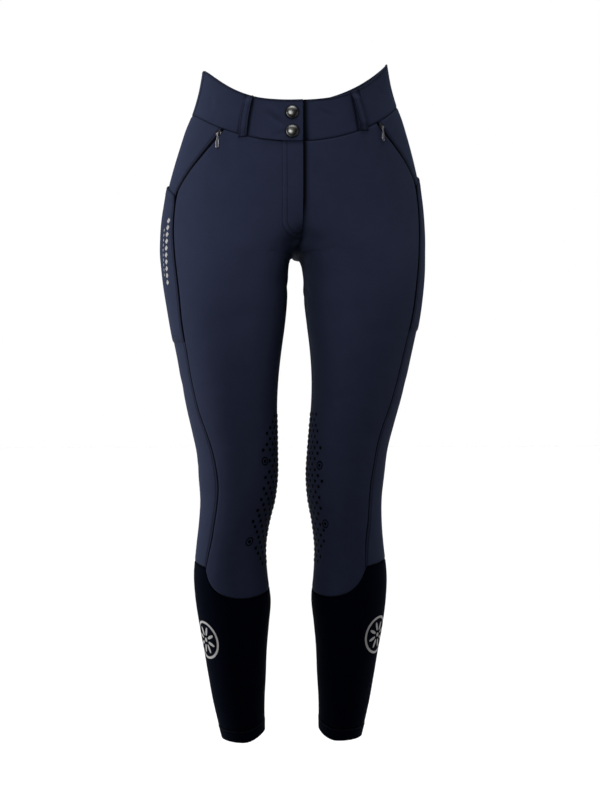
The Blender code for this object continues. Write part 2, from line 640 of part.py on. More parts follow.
def pocket_zip(side):
    """The zip in the slash pocket's mouth: a narrow strip set a little into the front side seam."""
    start = seam_angle(front_seam, band_seam)
    top = float(band_seam(np.array(start))) - EDGE_HALF_GAP * 2
    levels = np.array([HIP_Z + (top - HIP_Z) * k / ROWS_BELOW_BAND for k in range(ROWS_BELOW_BAND + 1)])
    z = np.tile(levels[:, None], (1, 3))
    middle = front_seam(z)
    _, scale = normal_and_scale(side, middle, z)
    grid = middle + np.array([-1.0, 0.0, 1.0]) * ZIP_HALF_WIDTH / scale
    name = f"pocket_zip_{SIDE_NAMES[side]}"
    cloth_wall(name, side, grid, z, ZIP_CLOTH, zip_cloth(), lift=-ZIP_DEPTH)


def belt_loop(name, side, top, bottom):
    """A strap sewn down at both ends and standing off the band between them."""
    share = np.linspace(0, 1, LOOP_ROWS + 1)[:, None]
    middle = bottom + (top - bottom) * share
    low, high = band_seam(np.array(bottom)) - LOOP_OVERHANG, band_top(np.array(top)) - EDGE_HALF_GAP * 4
    z = low + (high - low) * share + 0 * np.zeros(3)
    _, scale = normal_and_scale(side, middle + 0 * z, z)
    angle = middle + np.array([-0.5, 0.0, 0.5]) * LOOP_WIDTH / scale
    sides = np.where(angle > 180, -side, side)
    angle = np.where(angle > 180, 360 - angle, angle)
    stand = LOOP_LAY + LOOP_STANDOFF * ease(np.minimum(share, 1 - share) / 0.22) + 0 * z
    outer = off_surface(sides, angle, z, stand + LOOP_CLOTH)
    inner = off_surface(sides, angle, z, stand)
    wall_object(name, outer, inner, navy_cloth())


# ---------------------------------------------------------------- hard pieces


def band_angle(x, z):
    """The angle at which the front of the surface is x from the centre plane, at waist level."""
    return math.degrees(math.asin(abs(x) / float(smooth(z, SECTIONS, SECTION_COLUMNS, "x_out"))))


def place(points, origin, across, down, out):
    """Points given as (across, down, out), in the world."""
    return origin + points[:, :1] * across + points[:, 1:2] * down + points[:, 2:] * out


def tangent_frame(side, angle, z, lift):
    """A point off the surface, with the directions across, down the cloth and out of it."""
    out, _ = normal_and_scale(side, np.array(angle), np.array(z))
    origin = ring(side, angle, z) + out * lift
    down = np.array([0.0, 0.0, -1.0])
    down = down - out * (down @ out)
    down /= np.linalg.norm(down)
    return origin, np.cross(out, down), down, out


def snap(name, z):
    """A domed cap with a low rim: half an ellipse turned about its axis, closed underneath."""
    lift = TAB_LIFT + LAY_GAP * 1.4
    frame = tangent_frame(RIGHT, band_angle(SNAP_X, z), z, lift)
    climb = np.linspace(0, math.pi / 2, SNAP_RINGS + 1)[:-1]
    radii = [SNAP_RADIUS, SNAP_RADIUS, *(SNAP_RADIUS - SNAP_RIM) * np.cos(climb)]
    heights = [0.0, SNAP_RIM * 0.7, *(SNAP_RIM + (SNAP_HEIGHT - SNAP_RIM) * np.sin(climb))]
    turn = np.linspace(0, 2 * math.pi, SNAP_SEGMENTS, endpoint=False)
    points = [(r * math.cos(t), r * math.sin(t), h) for r, h in zip(radii, heights) for t in turn]
    points += [(0, 0, 0), (0, 0, SNAP_HEIGHT)]
    n, rings = SNAP_SEGMENTS, len(radii)
    faces = [
        (r * n + i, r * n + (i + 1) % n, (r + 1) * n + (i + 1) % n, (r + 1) * n + i)
        for r in range(rings - 1)
        for i in range(n)
    ]
    faces += [((i + 1) % n, i, rings * n) for i in range(n)]
    faces += [((rings - 1) * n + i, (rings - 1) * n + (i + 1) % n, rings * n + 1) for i in range(n)]
    add_object(name, place(np.array(points), *frame), faces, gunmetal())


def prism(outline, low, high):
    """Points and faces of an outline, given as pairs, between two heights."""
    n = len(outline)
    points = [(x, y, h) for h in (low, high) for x, y in outline]
    faces = [tuple(range(n))[::-1], tuple(range(n, 2 * n))]
    faces += [(i, (i + 1) % n, n + (i + 1) % n, n + i) for i in range(n)]
    return np.array(points), faces


def stadium(length, width):
    """Outline of an oval with straight sides, its long axis along the second coordinate."""
    radius, run = width / 2, (length - width) / 2
    turn = np.linspace(0, 2 * math.pi, ROUND_STEPS, endpoint=False) + math.pi / ROUND_STEPS
    return [(radius * math.cos(t), radius * math.sin(t) + math.copysign(run, math.sin(t))) for t in turn]


def union(base, others):
    """Joins closed objects into the first one."""
    for other in others:
        joint = base.modifiers.new("join", "BOOLEAN")
        joint.operation = "UNION"
        joint.solver = "EXACT"
        joint.object = other
    depsgraph = bpy.context.evaluated_depsgraph_get()
    joined = bpy.data.meshes.new_from_object(base.evaluated_get(depsgraph))
    base.modifiers.clear()
    base.data = joined
    for other in others:
        bpy.data.objects.remove(other)
    return base


def slider_frame(side):
    """The zip slider's frame: on the front side seam, just under the waistband."""
    start = seam_angle(front_seam, band_seam)
    z = float(band_seam(np.array(start))) - SLIDER_DROP
    return tangent_frame(side, float(front_seam(z)), z, 0.0), z


def zip_slider(side):
    """An oval body along the zip, with two ears and the pin that the pull swings on."""
    (origin, across, down, out), z = slider_frame(side)
    drop = 0.004
    ahead = ring(side, float(front_seam(z - drop)), z - drop) - origin
    lean = math.atan2(float(ahead @ across), float(ahead @ down))
    turned_across = across * math.cos(lean) - down * math.sin(lean)
    turned_down = across * math.sin(lean) + down * math.cos(lean)
    points, faces = prism(stadium(SLIDER_LENGTH, SLIDER_WIDTH), SLIDER_FLOOR, SLIDER_TOP)
    name = f"zip_slider_{SIDE_NAMES[side]}"
    body = add_object(name, place(points, origin, turned_across, turned_down, out), faces, gunmetal())
    extras = []
    for k in (-1, 1):
        first, last = sorted((k * EAR_INNER, k * (EAR_INNER + EAR_THICK)))
        ends = (PIN_DOWN - EAR_HALF, PIN_DOWN + EAR_HALF)
        outline = [(first, ends[0]), (last, ends[0]), (last, ends[1]), (first, ends[1])]
        points, faces = prism(outline, SLIDER_TOP - 0.0004, EAR_TOP)
        extras.append(add_object("ear", place(points, origin, across, down, out), faces, gunmetal()))
    turn = np.linspace(0, 2 * math.pi, 10, endpoint=False)
    circle = [(PIN_DOWN + PIN_RADIUS * math.cos(t), PIN_HEIGHT + PIN_RADIUS * math.sin(t)) for t in turn]
    points, faces = prism(circle, -EAR_INNER - 0.0003, EAR_INNER + 0.0003)
    points = points[:, [2, 0, 1]]
    extras.append(add_object("pin", place(points, origin, across, down, out), faces, gunmetal()))
    union(body, extras)


def pull_half_width(share):
    """Half width of the pull along its length: a narrow neck that swells into a drop with a round end."""
    swell = PULL_NECK + (PULL_HALF_WIDTH - PULL_NECK) * ease((share - 0.16) / 0.5)
    radius_share = PULL_HALF_WIDTH / PULL_LENGTH
    tip = np.clip((share - (1 - radius_share)) / radius_share, 0, 0.97)
    return swell * np.sqrt(1 - tip**2)


def zip_pull(side):
    """The drop-shaped pull tab with its eye round the slider's pin. Its object's origin is on the pin."""
    (origin, across, down, out), _ = slider_frame(side)
    pivot = origin + down * PIN_DOWN + out * PIN_HEIGHT
    lie = down * math.cos(PULL_LEAN) - out * math.sin(PULL_LEAN)
    rise = out * math.cos(PULL_LEAN) + down * math.sin(PULL_LEAN)
    share = np.concatenate([[EYE_RADIUS * 0.8 / PULL_LENGTH], np.linspace(0.16, 0.86, 7), [0.93, 0.97, 0.996]])
    widths = pull_half_width(share)
    edge = list(zip(widths, share * PULL_LENGTH))
    outline = edge + [(-w, d) for w, d in edge[::-1]]
    points, faces = prism(outline, -PULL_CLOTH / 2, PULL_CLOTH / 2)
    name = f"zip_pull_{SIDE_NAMES[side]}"
    plate = add_object(name, place(points, 0 * pivot, across, lie, rise), faces, gunmetal())
    turn = np.linspace(0, 2 * math.pi, ROUND_STEPS, endpoint=False)
    rings = []
    for reach in (-EYE_HALF_WIDTH, EYE_HALF_WIDTH):
        for radius in (EYE_RADIUS, EYE_HOLE):
            rings.append([(reach, radius * math.cos(t), radius * math.sin(t)) for t in turn])
    n = ROUND_STEPS
    faces = []
    for first, second in ((0, 1), (3, 2), (2, 0), (1, 3)):
        a, b = first * n, second * n
        faces += [(a + i, a + (i + 1) % n, b + (i + 1) % n, b + i) for i in range(n)]
    points = np.array(sum(rings, []))
    eye = add_object("eye", place(points, 0 * pivot, across, lie, rise), faces, gunmetal())
    union(plate, [eye])
    plate.location = pivot


def main():
    for old in list(bpy.data.objects):
        bpy.data.objects.remove(old)
    for side in (RIGHT, LEFT):
        leg_panels(side)
        sock(side)
        phone_pocket(side)
        pocket_zip(side)
        zip_slider(side)
        zip_pull(side)
    waistband()
    fly_placket()
    snap("snap_top", SNAP_TOP_Z)
    snap("snap_bottom", SNAP_BOTTOM_Z)
    for loop in LOOPS:
        belt_loop(*loop)


if __name__ == "__main__":
    main()
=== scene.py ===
"""Women's riding breeches with elastic socks: the look of every surface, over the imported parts.

Metres, +Z up. +X is the wearer's left and the front faces -Y. The cloth lies on one surface, ring() below. An
angle, in degrees, runs round each half of it: 0 at the front of the leg, 90 at its outer side, 180 at its back
and 270 (or -90) at the inseam. Every cloth piece is a thin shell on that surface, drawn in at its seams and moved
by its creases; sewing, grip dots and prints lie on the same moved surface.
"""

import math

import bpy
import numpy as np
from bpy.props import FloatProperty, FloatVectorProperty, PointerProperty
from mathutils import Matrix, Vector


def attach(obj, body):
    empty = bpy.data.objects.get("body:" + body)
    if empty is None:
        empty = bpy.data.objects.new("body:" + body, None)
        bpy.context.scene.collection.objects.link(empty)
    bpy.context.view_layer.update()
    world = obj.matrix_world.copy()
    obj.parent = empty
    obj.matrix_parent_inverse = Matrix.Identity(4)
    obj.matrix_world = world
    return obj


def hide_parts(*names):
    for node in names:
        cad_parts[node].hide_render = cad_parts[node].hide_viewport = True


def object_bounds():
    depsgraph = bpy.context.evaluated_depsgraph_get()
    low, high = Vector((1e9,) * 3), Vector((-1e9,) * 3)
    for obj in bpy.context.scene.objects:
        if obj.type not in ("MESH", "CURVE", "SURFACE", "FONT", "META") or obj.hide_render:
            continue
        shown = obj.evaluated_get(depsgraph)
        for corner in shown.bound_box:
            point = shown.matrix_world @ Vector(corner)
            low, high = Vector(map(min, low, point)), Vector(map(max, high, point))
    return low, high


bl_info = {
    "name": "Riding Breeches",
    "version": (1, 0, 0),
    "blender": (4, 5, 0),
    "location": "3D View > Sidebar > Breeches",
    "description": "Cloth, sewing, fastenings and finish of a pair of riding breeches in their worn form",
    "category": "Add Mesh",
}

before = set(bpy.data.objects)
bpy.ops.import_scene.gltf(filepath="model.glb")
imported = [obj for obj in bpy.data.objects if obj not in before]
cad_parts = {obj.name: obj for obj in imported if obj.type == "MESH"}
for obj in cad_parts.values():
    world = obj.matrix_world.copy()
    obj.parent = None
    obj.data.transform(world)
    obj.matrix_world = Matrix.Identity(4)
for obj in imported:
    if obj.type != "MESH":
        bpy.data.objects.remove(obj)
CAD_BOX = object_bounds()

RIGHT, LEFT = -1, 1
SIDES = {RIGHT: "right", LEFT: "left"}


def linear(code):
    """An sRGB hex colour as linear red, green and blue."""
    values = np.array([int(code[i : i + 2], 16) for i in (0, 2, 4)]) / 255
    return tuple(float(c) for c in np.where(values <= 0.04045, values / 12.92, ((values + 0.055) / 1.055) ** 2.4))


# ================================================================ sizes and colours a user would change


def colour(name, description, code):
    return FloatVectorProperty(name=name, description=description, subtype="COLOR", default=linear(code), min=0, max=1)


def length(name, description, default):
    return FloatProperty(name=name, description=description, default=default, min=0, unit="LENGTH", precision=5)


def power(name, description, default):
    return FloatProperty(name=name, description=description, default=default, min=0, unit="POWER")


class BreechesCloth(bpy.types.PropertyGroup):
    navy: colour("Navy", "Colour of the stretch cloth", "272c40")
    knit: colour("Sock Knit", "Colour of the elastic sock", "02040f")
    sheen: colour("Sheen", "Tint of the cloth's soft sheen", "8fa6cc")
    rib_pitch: length("Rib Pitch", "Spacing of the cloth's fine level ribs", 0.0016)
    course_pitch: length("Course Pitch", "Spacing of the sock's upright ribs", 0.0022)
    tuck_depth: length("Tuck Depth", "How far a seam draws the cloth in", 0.0011)
    tuck_width: length("Tuck Width", "How far from a seam the cloth starts to turn in", 0.0036)
    crease: FloatProperty(name="Crease", description="Strength of all creases", default=1.0, min=0, max=2)


class BreechesSewing(bpy.types.PropertyGroup):
    thread: colour("Thread", "Colour of the sewing thread", "0f1320")
    pitch: length("Stitch Pitch", "Distance from one stitch to the next", 0.0030)
    stitch: length("Stitch Length", "Length of a stitch that shows", 0.0024)
    width: length("Thread Width", "Width of the thread as it lies", 0.0006)


class BreechesTrims(bpy.types.PropertyGroup):
    silicone: colour("Silicone", "Colour of the grip dots", "010102")
    film: colour("Print", "Colour of the printed ornaments", "9a9898")
    gunmetal: colour("Gunmetal", "Colour of the snaps' and the sliders' plating", "626261")
    nickel: colour("Nickel", "Colour of the zip pulls' plating", "8e8e96")
    coil: colour("Coil", "Colour of the zip's coil and tape", "020308")
    dot: length("Dot", "Diameter of a grip dot", 0.0050)
    dot_height: length("Dot Height", "How far a grip dot stands up", 0.0006)
    dot_drop: length("Dot Drop", "Distance between rows of grip dots", 0.0079)
    dot_pitch: length("Dot Pitch", "Distance between grip dots in a row", 0.0150)


class BreechesStage(bpy.types.PropertyGroup):
    floor: colour("Floor", "Colour of the floor", "fbfbfb")
    floor_drop: length("Floor Drop", "Distance from the hems down to the floor", 0.500)
    distance: length("Camera Distance", "Distance from the camera to what it aims at", 2.2)
    aim_across: length("Aim Across", "How far right of the centre plane the camera aims", 0.0072)
    aim_drop: length("Aim Drop", "How far below the origin the camera aims", 0.4133)
    azimuth: FloatProperty(name="Azimuth", description="Camera's turn", default=math.radians(-6.3), subtype="ANGLE")
    lens: FloatProperty(name="Lens", description="Focal length over a 36 mm high sensor", default=68.75, unit="CAMERA")
    room: FloatProperty(name="Room", description="Light of the room at eye level", default=0.012, min=0)
    ceiling: FloatProperty(name="Ceiling", description="Light of the room straight above", default=6.4, min=0)
    key: power("Key Light", "Power of the light from the wearer's right", 30)
    fill: power("Fill Light", "Power of the light from the wearer's left", 5)
    front: power("Front Light", "Power of the light in front", 1.15)


# ================================================================ the garment's surface, as the parts have it

CLOTH, BAND_CLOTH, POCKET_CLOTH = 0.0015, 0.0020, 0.0012
# Half the gap left at a seam, and the gap under a piece that lies on another.
SEAM_HALF_GAP, LAY_GAP = 0.00002, 0.0003

# One half's level sections: its inner and outer reach, where its front and back are fullest, and their depths.
SECTION_COLUMNS = ("z", "gap", "x_out", "x_front", "x_back", "y_side", "y_front", "y_back")
SECTIONS = (
    (-0.930, 0.0300, 0.0960, 0.0630, 0.0630, 0.040, 0.001, 0.079),
    (-0.886, 0.0298, 0.1072, 0.0720, 0.0720, 0.040, 0.000, 0.080),
    (-0.851, 0.0296, 0.1151, 0.0765, 0.0765, 0.039, -0.003, 0.082),
    (-0.816, 0.0277, 0.1212, 0.0790, 0.0790, 0.037, -0.010, 0.085),
    (-0.773, 0.0260, 0.1283, 0.0815, 0.0815, 0.035, -0.019, 0.091),
    (-0.739, 0.0230, 0.1344, 0.0830, 0.0830, 0.034, -0.022, 0.097),
    (-0.704, 0.0199, 0.1394, 0.0840, 0.0840, 0.034, -0.023, 0.100),
    (-0.670, 0.0235, 0.1413, 0.0865, 0.0865, 0.034, -0.025, 0.098),
    (-0.626, 0.0255, 0.1371, 0.0855, 0.0855, 0.032, -0.029, 0.091),
    (-0.592, 0.0212, 0.1337, 0.0820, 0.0820, 0.029, -0.035, 0.085),
    (-0.557, 0.0138, 0.1324, 0.0775, 0.0775, 0.025, -0.043, 0.081),
    (-0.523, 0.0107, 0.1351, 0.0775, 0.0775, 0.020, -0.051, 0.077),
    (-0.488, 0.0117, 0.1384, 0.0795, 0.0795, 0.016, -0.060, 0.075),
    (-0.453, 0.0134, 0.1463, 0.0840, 0.0840, 0.012, -0.069, 0.075),
    (-0.419, 0.0152, 0.1548, 0.0895, 0.0895, 0.009, -0.078, 0.077),
    (-0.384, 0.0149, 0.1623, 0.0935, 0.0935, 0.006, -0.086, 0.081),
    (-0.341, 0.0115, 0.1710, 0.0960, 0.0960, 0.004, -0.094, 0.088),
    (-0.307, 0.0074, 0.1781, 0.0965, 0.0965, 0.005, -0.098, 0.094),
    (-0.272, 0.0040, 0.1838, 0.0935, 0.0940, 0.009, -0.101, 0.103),
    (-0.240, 0.0026, 0.1882, 0.0860, 0.0880, 0.016, -0.102, 0.113),
    (-0.209, 0.0000, 0.1908, 0.0725, 0.0780, 0.024, -0.103, 0.125),
    (-0.194, 0.0000, 0.1918, 0.0610, 0.0740, 0.027, -0.104, 0.129),
    (-0.168, 0.0000, 0.1914, 0.0430, 0.0660, 0.029, -0.105, 0.133),
    (-0.125, 0.0000, 0.1868, 0.0170, 0.0520, 0.027, -0.107, 0.132),
    (-0.082, 0.0000, 0.1770, 0.0040, 0.0330, 0.022, -0.107, 0.125),
    (-0.039, 0.0000, 0.1640, 0.0000, 0.0100, 0.014, -0.104, 0.113),
    (-0.017, 0.0000, 0.1567, 0.0000, 0.0000, 0.011, -0.102, 0.108),
    (0.004, 0.0000, 0.1478, 0.0000, 0.0000, 0.007, -0.100, 0.103),
    (0.030, 0.0000, 0.1397, 0.0000, 0.0000, 0.003, -0.098, 0.099),
    (0.056, 0.0000, 0.1345, 0.0000, 0.0000, 0.000, -0.097, 0.097),
    (0.080, 0.0000, 0.1310, 0.0000, 0.0000, 0.000, -0.096, 0.096),
)
# How much the inner quarters of a section bulge.
FULLNESS_COLUMNS = ("z", "front", "back")
FULLNESS = (
    (-0.620, 0.00, 0.00),
    (-0.500, 0.03, 0.02),
    (-0.380, 0.07, 0.04),
    (-0.250, 0.10, 0.06),
    (-0.200, 0.10, 0.05),
    (-0.150, 0.04, 0.01),
    (-0.110, 0.00, 0.00),
    (-0.060, 0.00, 0.00),
)
# The crotch: the arch below its height opens between the legs, the fork above it brings the halves together.
CROTCH_Z = -0.2062
ARCH_HALF_WIDTH, ARCH_HEIGHT, ARCH_SPREAD, ARCH_BACK = 0.0102, 0.018, 0.054, 4.0
FORK_REACH, FORK_RISE, FORK_SPREAD, FORK_POWERS = 0.200, 0.090, 0.050, {"front": 1.0, "back": 1.3}
# The share of an inner quarter's reach beyond which it counts as its edge, near the inseam.
INNER_EDGE = 0.55
# The hips tilt, and each leg turns out and sways to one side by its height.
HIP_TILT = math.radians(3.4)
STANCE_COLUMNS = ("z", "tilt_share", "turn_deg", "sway")
STANCE = (
    (-0.930, 0.00, 15.0, 0.0000),
    (-0.800, 0.00, 15.0, -0.0013),
    (-0.720, 0.00, 16.0, -0.0018),
    (-0.655, 0.00, 15.0, -0.0030),
    (-0.620, 0.05, 10.5, -0.0036),
    (-0.590, 0.12, 6.0, -0.0034),
    (-0.555, 0.25, 2.8, -0.0028),
    (-0.520, 0.38, 1.5, -0.0025),
    (-0.460, 0.60, 4.6, -0.0014),
    (-0.380, 0.80, 6.2, 0.0004),
    (-0.300, 0.85, 3.6, 0.0014),
    (-0.240, 0.85, 1.0, 0.0008),
    (-0.195, 0.85, 0.0, 0.0000),
    (-0.150, 0.90, 0.0, 0.0000),
    (-0.060, 1.00, 0.0, 0.0000),
    (0.080, 1.00, 0.0, 0.0000),
)
# Angles of the side panel's two seams, and heights of the curved seam above the sock.
SIDE_SEAM_COLUMNS = ("z", "front", "back")
SIDE_SEAMS = (
    (-0.930, 32.5, 125.0),
    (-0.655, 32.0, 125.0),
    (-0.612, 31.0, 123.0),
    (-0.590, 33.2, 122.0),
    (-0.560, 34.6, 121.0),
    (-0.530, 33.8, 120.0),
    (-0.500, 36.6, 119.0),
    (-0.460, 40.5, 118.0),
    (-0.430, 45.3, 117.0),
    (-0.390, 48.8, 116.0),
    (-0.340, 51.0, 115.0),
    (-0.300, 52.8, 114.0),
    (-0.250, 54.4, 113.0),
    (-0.200, 59.5, 113.0),
    (-0.165, 63.6, 112.0),
    (-0.130, 66.2, 112.0),
    (-0.110, 67.2, 112.0),
    (-0.090, 62.2, 112.0),
    (-0.066, 53.8, 113.0),
    (-0.036, 43.6, 114.0),
    (0.010, 36.0, 116.0),
)
SOCK_EDGE_COLUMNS = ("angle", "z")
SOCK_EDGE = (
    (-90.0, -0.687),
    (-45.0, -0.695),
    (-25.0, -0.6965),
    (-5.0, -0.694),
    (10.0, -0.688),
    (19.0, -0.6805),
    (26.0, -0.6700),
    (31.0, -0.6590),
    (33.5, -0.6535),
    (38.0, -0.6520),
    (52.0, -0.6495),
    (72.0, -0.6465),
    (95.0, -0.6450),
    (125.0, -0.646),
    (160.0, -0.656),
    (200.0, -0.668),
    (240.0, -0.680),
    (270.0, -0.687),
)
HEM_FRONT_Z, HEM_RISE_INNER, HEM_RISE_BACK, HEM_DEPTH, HEM_STEP = -0.906, 0.010, 0.004, 0.0175, 0.0005
BAND_TOP = {"front": 0.000, "side": 0.064, "back": 0.033, "power": 2.4}
BAND_SEAM = {"front": -0.058, "side": 0.002, "back": -0.027, "power": 2.0}
UNDERLAP = 0.032
TAB_LIFT = BAND_CLOTH + LAY_GAP
TAB_FLAT_DEG, TAB_END_DEG = 14.0, 26.0
CALF_Z, HIP_Z = -0.600, -0.110
ZIP_END_Z, ZIP_FADE, ZIP_HALF_GAP = -0.112, 0.020, 0.0020

# Creases: a trough along a line that is centred on a place on the cloth, leans from level (positive climbs as the
# angle grows) and may bend. A negative depth is a ridge. Side 0 is on both legs.
CREASE_COLUMNS = ("side", "angle", "z", "lean", "length", "width", "depth", "bend")
CREASES = (
    # waistband, pulled towards the snaps
    (RIGHT, 14.0, -0.0240, 42, 0.044, 0.0036, 0.0020, 0.0),
    (RIGHT, 10.0, -0.0460, -18, 0.030, 0.0030, 0.0005, 3.0),
    (LEFT, 12.0, -0.0200, -24, 0.034, 0.0030, 0.0006, 0.0),
    (RIGHT, 58.0, 0.0130, 64, 0.050, 0.0045, 0.0006, 0.0),
    (LEFT, 70.0, 0.0220, 78, 0.046, 0.0050, 0.0007, 0.0),
    (RIGHT, 150.0, 0.0100, 82, 0.050, 0.0060, 0.0010, 0.0),
    (LEFT, 158.0, 0.0060, 97, 0.052, 0.0055, 0.0011, 0.0),
    # front hip and the fly
    (RIGHT, 33.0, -0.0800, 58, 0.070, 0.0070, 0.0006, 2.0),
    (LEFT, 26.0, -0.0760, 66, 0.064, 0.0060, 0.0006, -2.0),
    (LEFT, 4.0, -0.1040, 72, 0.070, 0.0050, 0.0007, 3.0),
    (RIGHT, 52.0, -0.1000, 44, 0.050, 0.0050, 0.0005, 0.0),
    # from the crotch outwards
    (RIGHT, -42.0, -0.1950, 46, 0.040, 0.0030, 0.0012, 4.0),
    (RIGHT, -30.0, -0.2080, 27, 0.070, 0.0040, 0.0010, 2.0),
    (RIGHT, -52.0, -0.2170, 12, 0.052, 0.0042, 0.0010, -2.0),
    (LEFT, -44.0, -0.1930, 40, 0.044, 0.0030, 0.0011, 4.0),
    (LEFT, -34.0, -0.2110, 22, 0.060, 0.0042, 0.0010, 2.0),
    (LEFT, -5.0, -0.1980, 3, 0.030, 0.0026, 0.0003, 0.0),
    (LEFT, -56.0, -0.2240, 8, 0.048, 0.0045, 0.0010, -2.0),
    (RIGHT, -72.0, -0.2500, -24, 0.066, 0.0065, 0.0012, 2.0),
    (LEFT, -70.0, -0.2580, -30, 0.058, 0.0060, 0.0013, 2.0),
    (RIGHT, 262.0, -0.2700, 18, 0.070, 0.0070, 0.0014, 0.0),
    (LEFT, 256.0, -0.2640, 24, 0.064, 0.0065, 0.0013, 0.0),
    # front of the thigh and the knee
    (RIGHT, 4.0, -0.3020, -14, 0.130, 0.0130, 0.0006, 0.0),
    (LEFT, 14.0, -0.3240, 10, 0.120, 0.0120, 0.0006, 0.0),
    (RIGHT, -18.0, -0.4240, 9, 0.090, 0.0080, 0.0007, 1.0),
    (LEFT, -22.0, -0.4120, 13, 0.080, 0.0085, 0.0008, 1.0),
    (RIGHT, 6.0, -0.4920, -7, 0.076, 0.0060, 0.0006, 0.0),
    (LEFT, 2.0, -0.5040, 5, 0.070, 0.0060, 0.0006, -1.0),
    (RIGHT, 0.0, -0.6060, 2, 0.052, 0.0036, 0.0007, 0.0),
    (LEFT, -7.0, -0.6088, 3, 0.040, 0.0034, 0.0007, 0.0),
    (RIGHT, -14.0, -0.6340, -4, 0.044, 0.0045, 0.0005, 0.0),
    (LEFT, -12.0, -0.5700, 86, 0.140, 0.0130, -0.0012, 0.0),
    (RIGHT, -8.0, -0.5760, 92, 0.120, 0.0130, -0.0010, 0.0),
    # back of the knee
    (RIGHT, 181.0, -0.5060, 6, 0.112, 0.0062, 0.0024, 1.6),
    (RIGHT, 170.0, -0.5310, -6, 0.094, 0.0054, 0.0019, 1.2),
    (RIGHT, 197.0, -0.4810, 11, 0.080, 0.0062, 0.0015, 1.0),
    (RIGHT, 163.0, -0.5570, 4, 0.064, 0.0050, 0.0012, 0.0),
    (RIGHT, 224.0, -0.5180, -17, 0.060, 0.0050, 0.0013, 0.0),
    (LEFT, 176.0, -0.5000, -4, 0.104, 0.0060, 0.0023, 1.4),
    (LEFT, 190.0, -0.5240, 8, 0.100, 0.0056, 0.0020, 1.6),
    (LEFT, 160.0, -0.4780, -13, 0.070, 0.0060, 0.0014, 0.0),
    (LEFT, 202.0, -0.5500, -3, 0.060, 0.0048, 0.0013, 0.0),
    (LEFT, 232.0, -0.5060, 15, 0.056, 0.0052, 0.0012, 0.0),
    # under the seat and across it
    (RIGHT, 208.0, -0.2330, -14, 0.120, 0.0080, 0.0024, 1.6),
    (RIGHT, 226.0, -0.2520, -22, 0.090, 0.0064, 0.0017, 1.0),
    (RIGHT, 176.0, -0.2700, 5, 0.076, 0.0074, 0.0011, 0.0),
    (LEFT, 212.0, -0.2370, -17, 0.112, 0.0076, 0.0023, 1.8),
    (LEFT, 230.0, -0.2580, -25, 0.080, 0.0062, 0.0016, 1.0),
    (LEFT, 182.0, -0.2620, -4, 0.084, 0.0074, 0.0012, 0.0),
    (RIGHT, 236.0, -0.1880, 38, 0.060, 0.0050, 0.0013, 0.0),
    (LEFT, 232.0, -0.1800, 44, 0.056, 0.0052, 0.0013, 0.0),
    (RIGHT, 150.0, -0.0620, 76, 0.070, 0.0070, 0.0011, 0.0),
    (LEFT, 156.0, -0.0660, 100, 0.064, 0.0066, 0.0011, 0.0),
    # outer side of the hip and the thigh
    (0, 100.0, -0.1500, 66, 0.090, 0.0090, 0.0006, 0.0),
    (RIGHT, 92.0, -0.3800, 30, 0.080, 0.0080, 0.0006, 0.0),
    (LEFT, 96.0, -0.3900, 22, 0.084, 0.0085, 0.0006, 0.0),
    (RIGHT, 110.0, -0.5120, -16, 0.066, 0.0060, 0.0010, 0.0),
    (LEFT, 112.0, -0.5060, -12, 0.060, 0.0060, 0.0010, 0.0),
    # ankle
    (RIGHT, 6.0, -0.8520, 4, 0.060, 0.0042, 0.0006, 0.0),
    (LEFT, 10.0, -0.8580, -3, 0.056, 0.0042, 0.0006, 0.0),
    (RIGHT, 182.0, -0.8420, 3, 0.074, 0.0050, 0.0012, 1.0),
    (LEFT, 176.0, -0.8480, -4, 0.070, 0.0050, 0.0012, 1.0),
    (RIGHT, 176.0, -0.8680, -5, 0.060, 0.0042, 0.0009, 0.0),
    (LEFT, 184.0, -0.8710, 4, 0.056, 0.0042, 0.0009, 0.0),
)


def smooth(x, table, columns, name):
    """A table's column at x, on a smooth curve through its rows (cubic, slopes from the rows beside)."""
    knots = np.array([row[0] for row in table])
    values = np.array([row[columns.index(name)] for row in table])
    slopes = np.gradient(values, knots)
    x = np.clip(x, knots[0], knots[-1])
    i = np.clip(np.searchsorted(knots, x) - 1, 0, len(knots) - 2)
    step = knots[i + 1] - knots[i]
    t = (x - knots[i]) / step
    return (
        (1 + 2 * t) * (1 - t) ** 2 * values[i]
        + t * (1 - t) ** 2 * step * slopes[i]
        + t**2 * (3 - 2 * t) * values[i + 1]
        + t**2 * (t - 1) * step * slopes[i + 1]
    )


def ease(t):
    """0 to 1, level at both ends."""
    t = np.clip(t, 0.0, 1.0)
    return t * t * (3 - 2 * t)


def crotch_shift(z, across, forward):
    """How far an inner side stands off the centre plane for the arch, or past it for the fork, less each gap.

    The whole inner side takes the slow share of both; only its edge, near the inseam, takes the rest.
    """
    below, above = np.clip(CROTCH_Z - z, 0.0, None), np.clip(z - CROTCH_Z, 0.0, None)
    arch = ARCH_HALF_WIDTH * np.sqrt(1 - (1 - np.clip(below / ARCH_HEIGHT, 0.0, 1.0)) ** 2)
    arch_share = ARCH_HALF_WIDTH * ease(below / ARCH_SPREAD)
    power = np.where(forward >= 0, FORK_POWERS["front"], FORK_POWERS["back"])
    fork = FORK_REACH * np.tanh((above / FORK_RISE) ** power)
    fork_share = fork * ease(above / FORK_SPREAD)
    edge = ease((-across - INNER_EDGE) / (1 - INNER_EDGE))
    at_edge = (arch - arch_share) * (1 + ARCH_BACK * np.clip(-forward, 0.0, None)) - (fork - fork_share)
    return (arch_share - fork_share) * np.clip(-across, 0.0, None) + at_edge * edge


